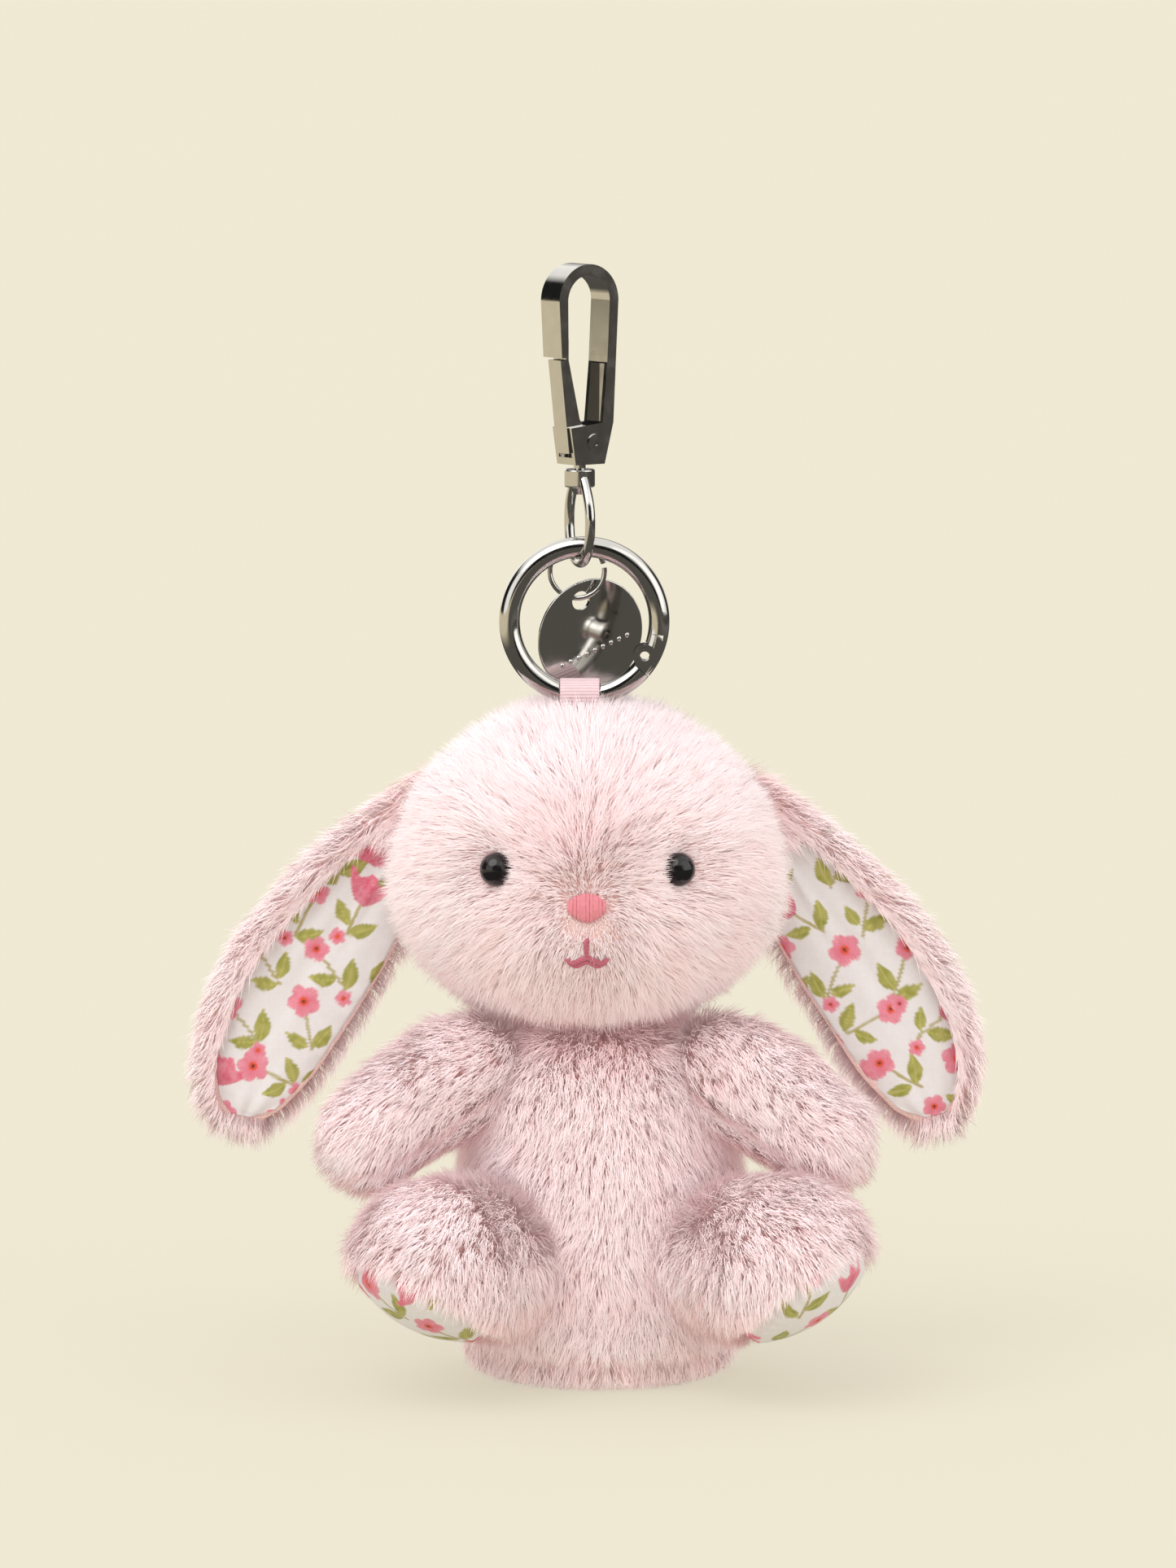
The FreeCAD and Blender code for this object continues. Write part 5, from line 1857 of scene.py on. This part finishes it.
    def lining(self, rows: int = 190, columns: int = 110) -> None:
        """Makes the printed cotton lining.

        Args:
            rows: how many samples run along the ear.
            columns: how many run across it.
        """
        line, outward, wide, share = self.frame_at(rows)
        inside = (share > 0.17) & (share < 0.97)
        line, outward, wide, share = line[inside], outward[inside], wide[inside], share[inside]
        ends = np.clip(1.0 - np.abs(2 * (share - 0.57) / 0.80) ** 6, 0.02, 1.0) ** 0.5
        across = np.linspace(-1.0, 1.0, columns)
        low, high = -0.99 * ends, 0.76 * ends
        t = 0.5 * (low + high)[:, None] + 0.5 * (high - low)[:, None] * across[None]
        s = np.repeat(share[:, None], columns, axis=1)
        fill = np.clip(wide / 8.0, 0.3, 1.0)[:, None]
        border = np.minimum(1 - np.abs(across)[None], np.minimum(s - share[0], share[-1] - s) * 5.0)
        off = self.lining_depth(s, t, border, fill)
        grid = line[:, None] + outward[:, None] * (wide[:, None] * t)[..., None]
        skin = patch(grid + self.behind * off[..., None])
        made = skin.made(f"ear_{self.side}_cotton")
        origin = np.array([self.inner, 0.0, self.top])
        flat = (skin.points - origin) * np.array([self.sign, 1.0, 1.0])
        cloth = Print(self.figures, seed=15 + len(self.side))
        painted(made, "print", cloth.paint(flat[:, 0], flat[:, 2]))
        COTTON.on(made)
        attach(made, "ear_" + self.side)
        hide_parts(f"ear_{self.side}_lining")
        a, b, c = (skin.points[skin.triangles()[:, k]] for k in range(3))

    def build(self) -> None:
        """Makes the ear's plush, its pile and its lining."""
        skin = self.sculpt()
        ear = "ear_" + self.side
        stuffed(skin, ear + "_flap", ear, (ear + "_plush",))
        self.fur.seed += len(self.side)
        self.fur.grow(ear + "_pile", skin, self.comb, self.trim, ear, self.painted_shade)
        self.lining()


def sprigs(cloth: Corners, seed: int, gap: float = 12.5) -> list[Figure]:
    """A generic scatter of sprigs: each has a bent stem, a flower at its tip, two leaves and at times a bud.

    Args:
        cloth: the lower left and the upper right corner of the cloth, in millimetres.
        seed: another seed gives another scatter.
        gap: the spacing of the sprigs.

    Returns:
        The figures.
    """
    random = np.random.default_rng(seed)
    (left, bottom), (right, top) = cloth
    figures: list[Figure] = []
    for row, up in enumerate(np.arange(bottom, top, 0.87 * gap)):
        for across in np.arange(left + 0.5 * gap * (row % 2), right, gap):
            foot = np.array([across, up]) + random.uniform(-0.16, 0.16, 2) * gap
            turn = random.uniform(-75.0, 75.0)
            way = np.array([-math.sin(math.radians(turn)), math.cos(math.radians(turn))])
            side = np.array([way[1], -way[0]])
            bend = random.uniform(-0.9, 0.9)
            figures.append(Figure(Motif.STEM, *foot, 0.72 * gap, turn, bend))
            flower = Motif.CUP if random.random() < 0.25 else Motif.BLOOM
            size = random.uniform(4.4, 5.4) if flower is Motif.CUP else random.uniform(1.7, 2.5)
            figures.append(Figure(flower, *(foot + way * 0.42 * gap), size, turn))
            for hand in (-1.0, 1.0):
                place = foot - way * random.uniform(0.0, 0.24) * gap + side * hand * 2.5
                long = random.uniform(3.9, 5.4)
                figures.append(Figure(Motif.LEAF, *place, long, turn - hand * 48.0, hand * 0.3))
            if random.random() < 0.5:
                figures.append(Figure(Motif.BLOOM, *(foot - way * 0.46 * gap + side * 1.4), 1.3))
    return figures


EAR_CLOTH: Corners = ((0.0, -66.0), (46.0, -8.0))
SOLE_CLOTH: Corners = ((-15.0, -15.0), (15.0, 15.0))


# ---------------------------------------------------------------- stage


@dataclass
class Stage:
    """The pale floor, the soft studio light and the camera."""

    view_tall: float = 304.6
    aim_x: float = 1.6
    aim_z: float = -99.0
    lift: float = 7.0
    away: float = 1600.0
    floor_half: float = 60000.0
    floor_colour: Colour = (0.595, 0.560, 0.452)
    floor_share: float = 0.40
    floor_glow: float = 0.90

    def floor(self) -> None:
        """Lays the floor under the object's lowest point; it glows with its own colour, which lightens the
        shadows cast on it, and in gloss it shows a painted reflection of cream and dark bands.
        """
        corners = [(-1.0, -1.0), (1.0, -1.0), (1.0, 1.0), (-1.0, 1.0)]
        points = np.array([(x * self.floor_half, y * self.floor_half, FLOOR_Z) for x, y in corners])
        skin = Skin(points, [(0, 1, 2, 3)])
        made = skin.made("studio_floor")
        matt = bpy.data.materials.new("studio_paper")
        matt.use_nodes = True
        tree = Tree(matt.node_tree)
        shader = matt.node_tree.nodes["Principled BSDF"]
        shader.inputs["Roughness"].default_value = 1.0
        shader.inputs["Specular IOR Level"].default_value = 0.0
        place = tree.add("ShaderNodeTexCoord").outputs["Object"]
        cloud = tree.add("ShaderNodeTexNoise", {"Vector": place, "Scale": 2.0, "Detail": 2.0}).outputs["Fac"]
        darker = tuple(0.995 * part for part in self.floor_colour)
        gloss = tree.add("ShaderNodeLightPath").outputs["Is Glossy Ray"]
        paper = tree.mixed(cloud, self.floor_colour, darker)
        sideways = tree.add("ShaderNodeSeparateXYZ", {"Vector": place}).outputs["X"]
        reach = tree.add("ShaderNodeMapRange", {"Value": sideways, "From Min": -2.0, "From Max": 2.0})
        share = reach.outputs["Result"]
        # painted reflection: cream and dark bands that only gloss sees on the floor
        dim, cream = (0.075, 0.07, 0.062), (0.56, 0.50, 0.36)
        stops = [(0.0, cream), (0.36, cream), (0.42, dim), (0.60, dim)]
        stops += [(0.70, (0.13, 0.12, 0.11)), (0.80, (0.055, 0.05, 0.045))]
        colour = tree.mixed(gloss, paper, tree.ramp(share, stops))
        lit = tree.mixed(self.floor_share, (0.0, 0.0, 0.0), colour)
        tree.tree.links.new(lit, shader.inputs["Base Color"])
        tree.tree.links.new(colour, shader.inputs["Emission Color"])
        shader.inputs["Emission Strength"].default_value = self.floor_glow
        made.data.materials.append(matt)

    def light(self) -> None:
        """A white tent of light with dark gaps that only gloss sees, a soft key and a soft fill."""
        world = bpy.data.worlds.new("studio_tent")
        bpy.context.scene.world = world
        world.use_nodes = True
        world.node_tree.nodes.clear()
        tree = Tree(world.node_tree)
        way = tree.add("ShaderNodeTexCoord").outputs["Generated"]
        parts = tree.add("ShaderNodeSeparateXYZ", {"Vector": way}).outputs
        turn = tree.maths("ARCTAN2", parts["X"], parts["Y"])
        share = tree.maths("ADD", tree.maths("DIVIDE", turn, 2 * math.pi), 0.5)
        white, grey, dark = (1.25, 1.23, 1.18), (0.30, 0.29, 0.28), (0.015, 0.015, 0.015)
        spans = [
            (0.0, 0.07, dark), (0.10, 0.20, white), (0.23, 0.36, dark), (0.39, 0.47, white),
            (0.50, 0.60, grey), (0.63, 0.70, dark), (0.73, 0.88, white),
        ]
        stops = [(place, shade) for start, end, shade in spans for place in (start, end)]
        panels = tree.ramp(share, stops + [(0.91, dark)])
        black = (0.0, 0.0, 0.0)
        ceiling = tree.ramp(parts["Z"], [(0.0, black), (0.50, black), (0.62, PLAIN)])
        gloss = tree.mixed(ceiling, panels, (1.15, 1.14, 1.1))
        ray = tree.add("ShaderNodeLightPath").outputs["Is Glossy Ray"]
        colour = tree.mixed(ray, (1.065, 1.055, 1.04), gloss)
        back = tree.add("ShaderNodeBackground", {"Color": colour, "Strength": 1.0})
        tree.add("ShaderNodeOutputWorld", {"Surface": back.outputs["Background"]})
        self.sun("key_light", (-38.0, 0.0, -42.0), 1.16, 50.0)
        self.sun("fill_light", (-62.0, 0.0, 55.0), 0.35, 60.0)

    @staticmethod
    def sun(name: str, aim: tuple[float, float, float], strength: float, spread: float) -> None:
        """Adds a soft distant light.

        Args:
            name: the light's name.
            aim: how it is turned from straight down, in degrees.
            strength: how strong it is.
            spread: how wide it looks, in degrees.
        """
        lamp = bpy.data.lights.new(name, "SUN")
        lamp.energy = strength
        lamp.angle = math.radians(spread)
        lamp.color = (1.0, 0.99, 0.98)
        made = bpy.data.objects.new(name, lamp)
        made.rotation_euler = [math.radians(-aim[0]), math.radians(aim[1]), math.radians(aim[2])]
        bpy.context.scene.collection.objects.link(made)

    def camera(self) -> None:
        """Sets the camera in front of the object, a little above its middle."""
        lens = bpy.data.cameras.new("front_camera")
        lens.sensor_width = 36.0
        lens.lens = lens.sensor_width * self.away / self.view_tall
        lens.clip_start = 0.05
        lens.clip_end = 200.0
        made = bpy.data.objects.new("front_camera", lens)
        lift = math.radians(self.lift)
        aim = Vector((self.aim_x, 0.0, self.aim_z)) * MM
        made.location = aim + Vector((0.0, -math.cos(lift), math.sin(lift))) * self.away * MM
        made.rotation_euler = (math.pi / 2 - lift, 0.0, 0.0)
        bpy.context.scene.collection.objects.link(made)
        bpy.context.scene.camera = made

    def build(self) -> None:
        """Builds the stage."""
        self.floor()
        self.light()
        self.camera()
        bpy.context.scene.view_settings.view_transform = "Standard"


def main() -> None:
    """Builds every sub-assembly in order."""
    SHARED["grain"] = grain_group()
    SHARED["weave"] = weave_group()
    parts = [
        Metalwork(), Ribbon(), Head(), Torso(), Arm("left"), Arm("right"),
        Leg("left", sprigs(SOLE_CLOTH, 101)), Leg("right", sprigs(SOLE_CLOTH, 102)),
        Ear("left", sprigs(EAR_CLOTH, 103)), Ear("right", sprigs(EAR_CLOTH, 104)), Stage(),
    ]
    for part in parts:
        LOG.info("building %s", type(part).__name__)
        part.build()


if __name__ == "__main__":
    logging.basicConfig(level=logging.INFO, format="%(name)s %(message)s")
    main()
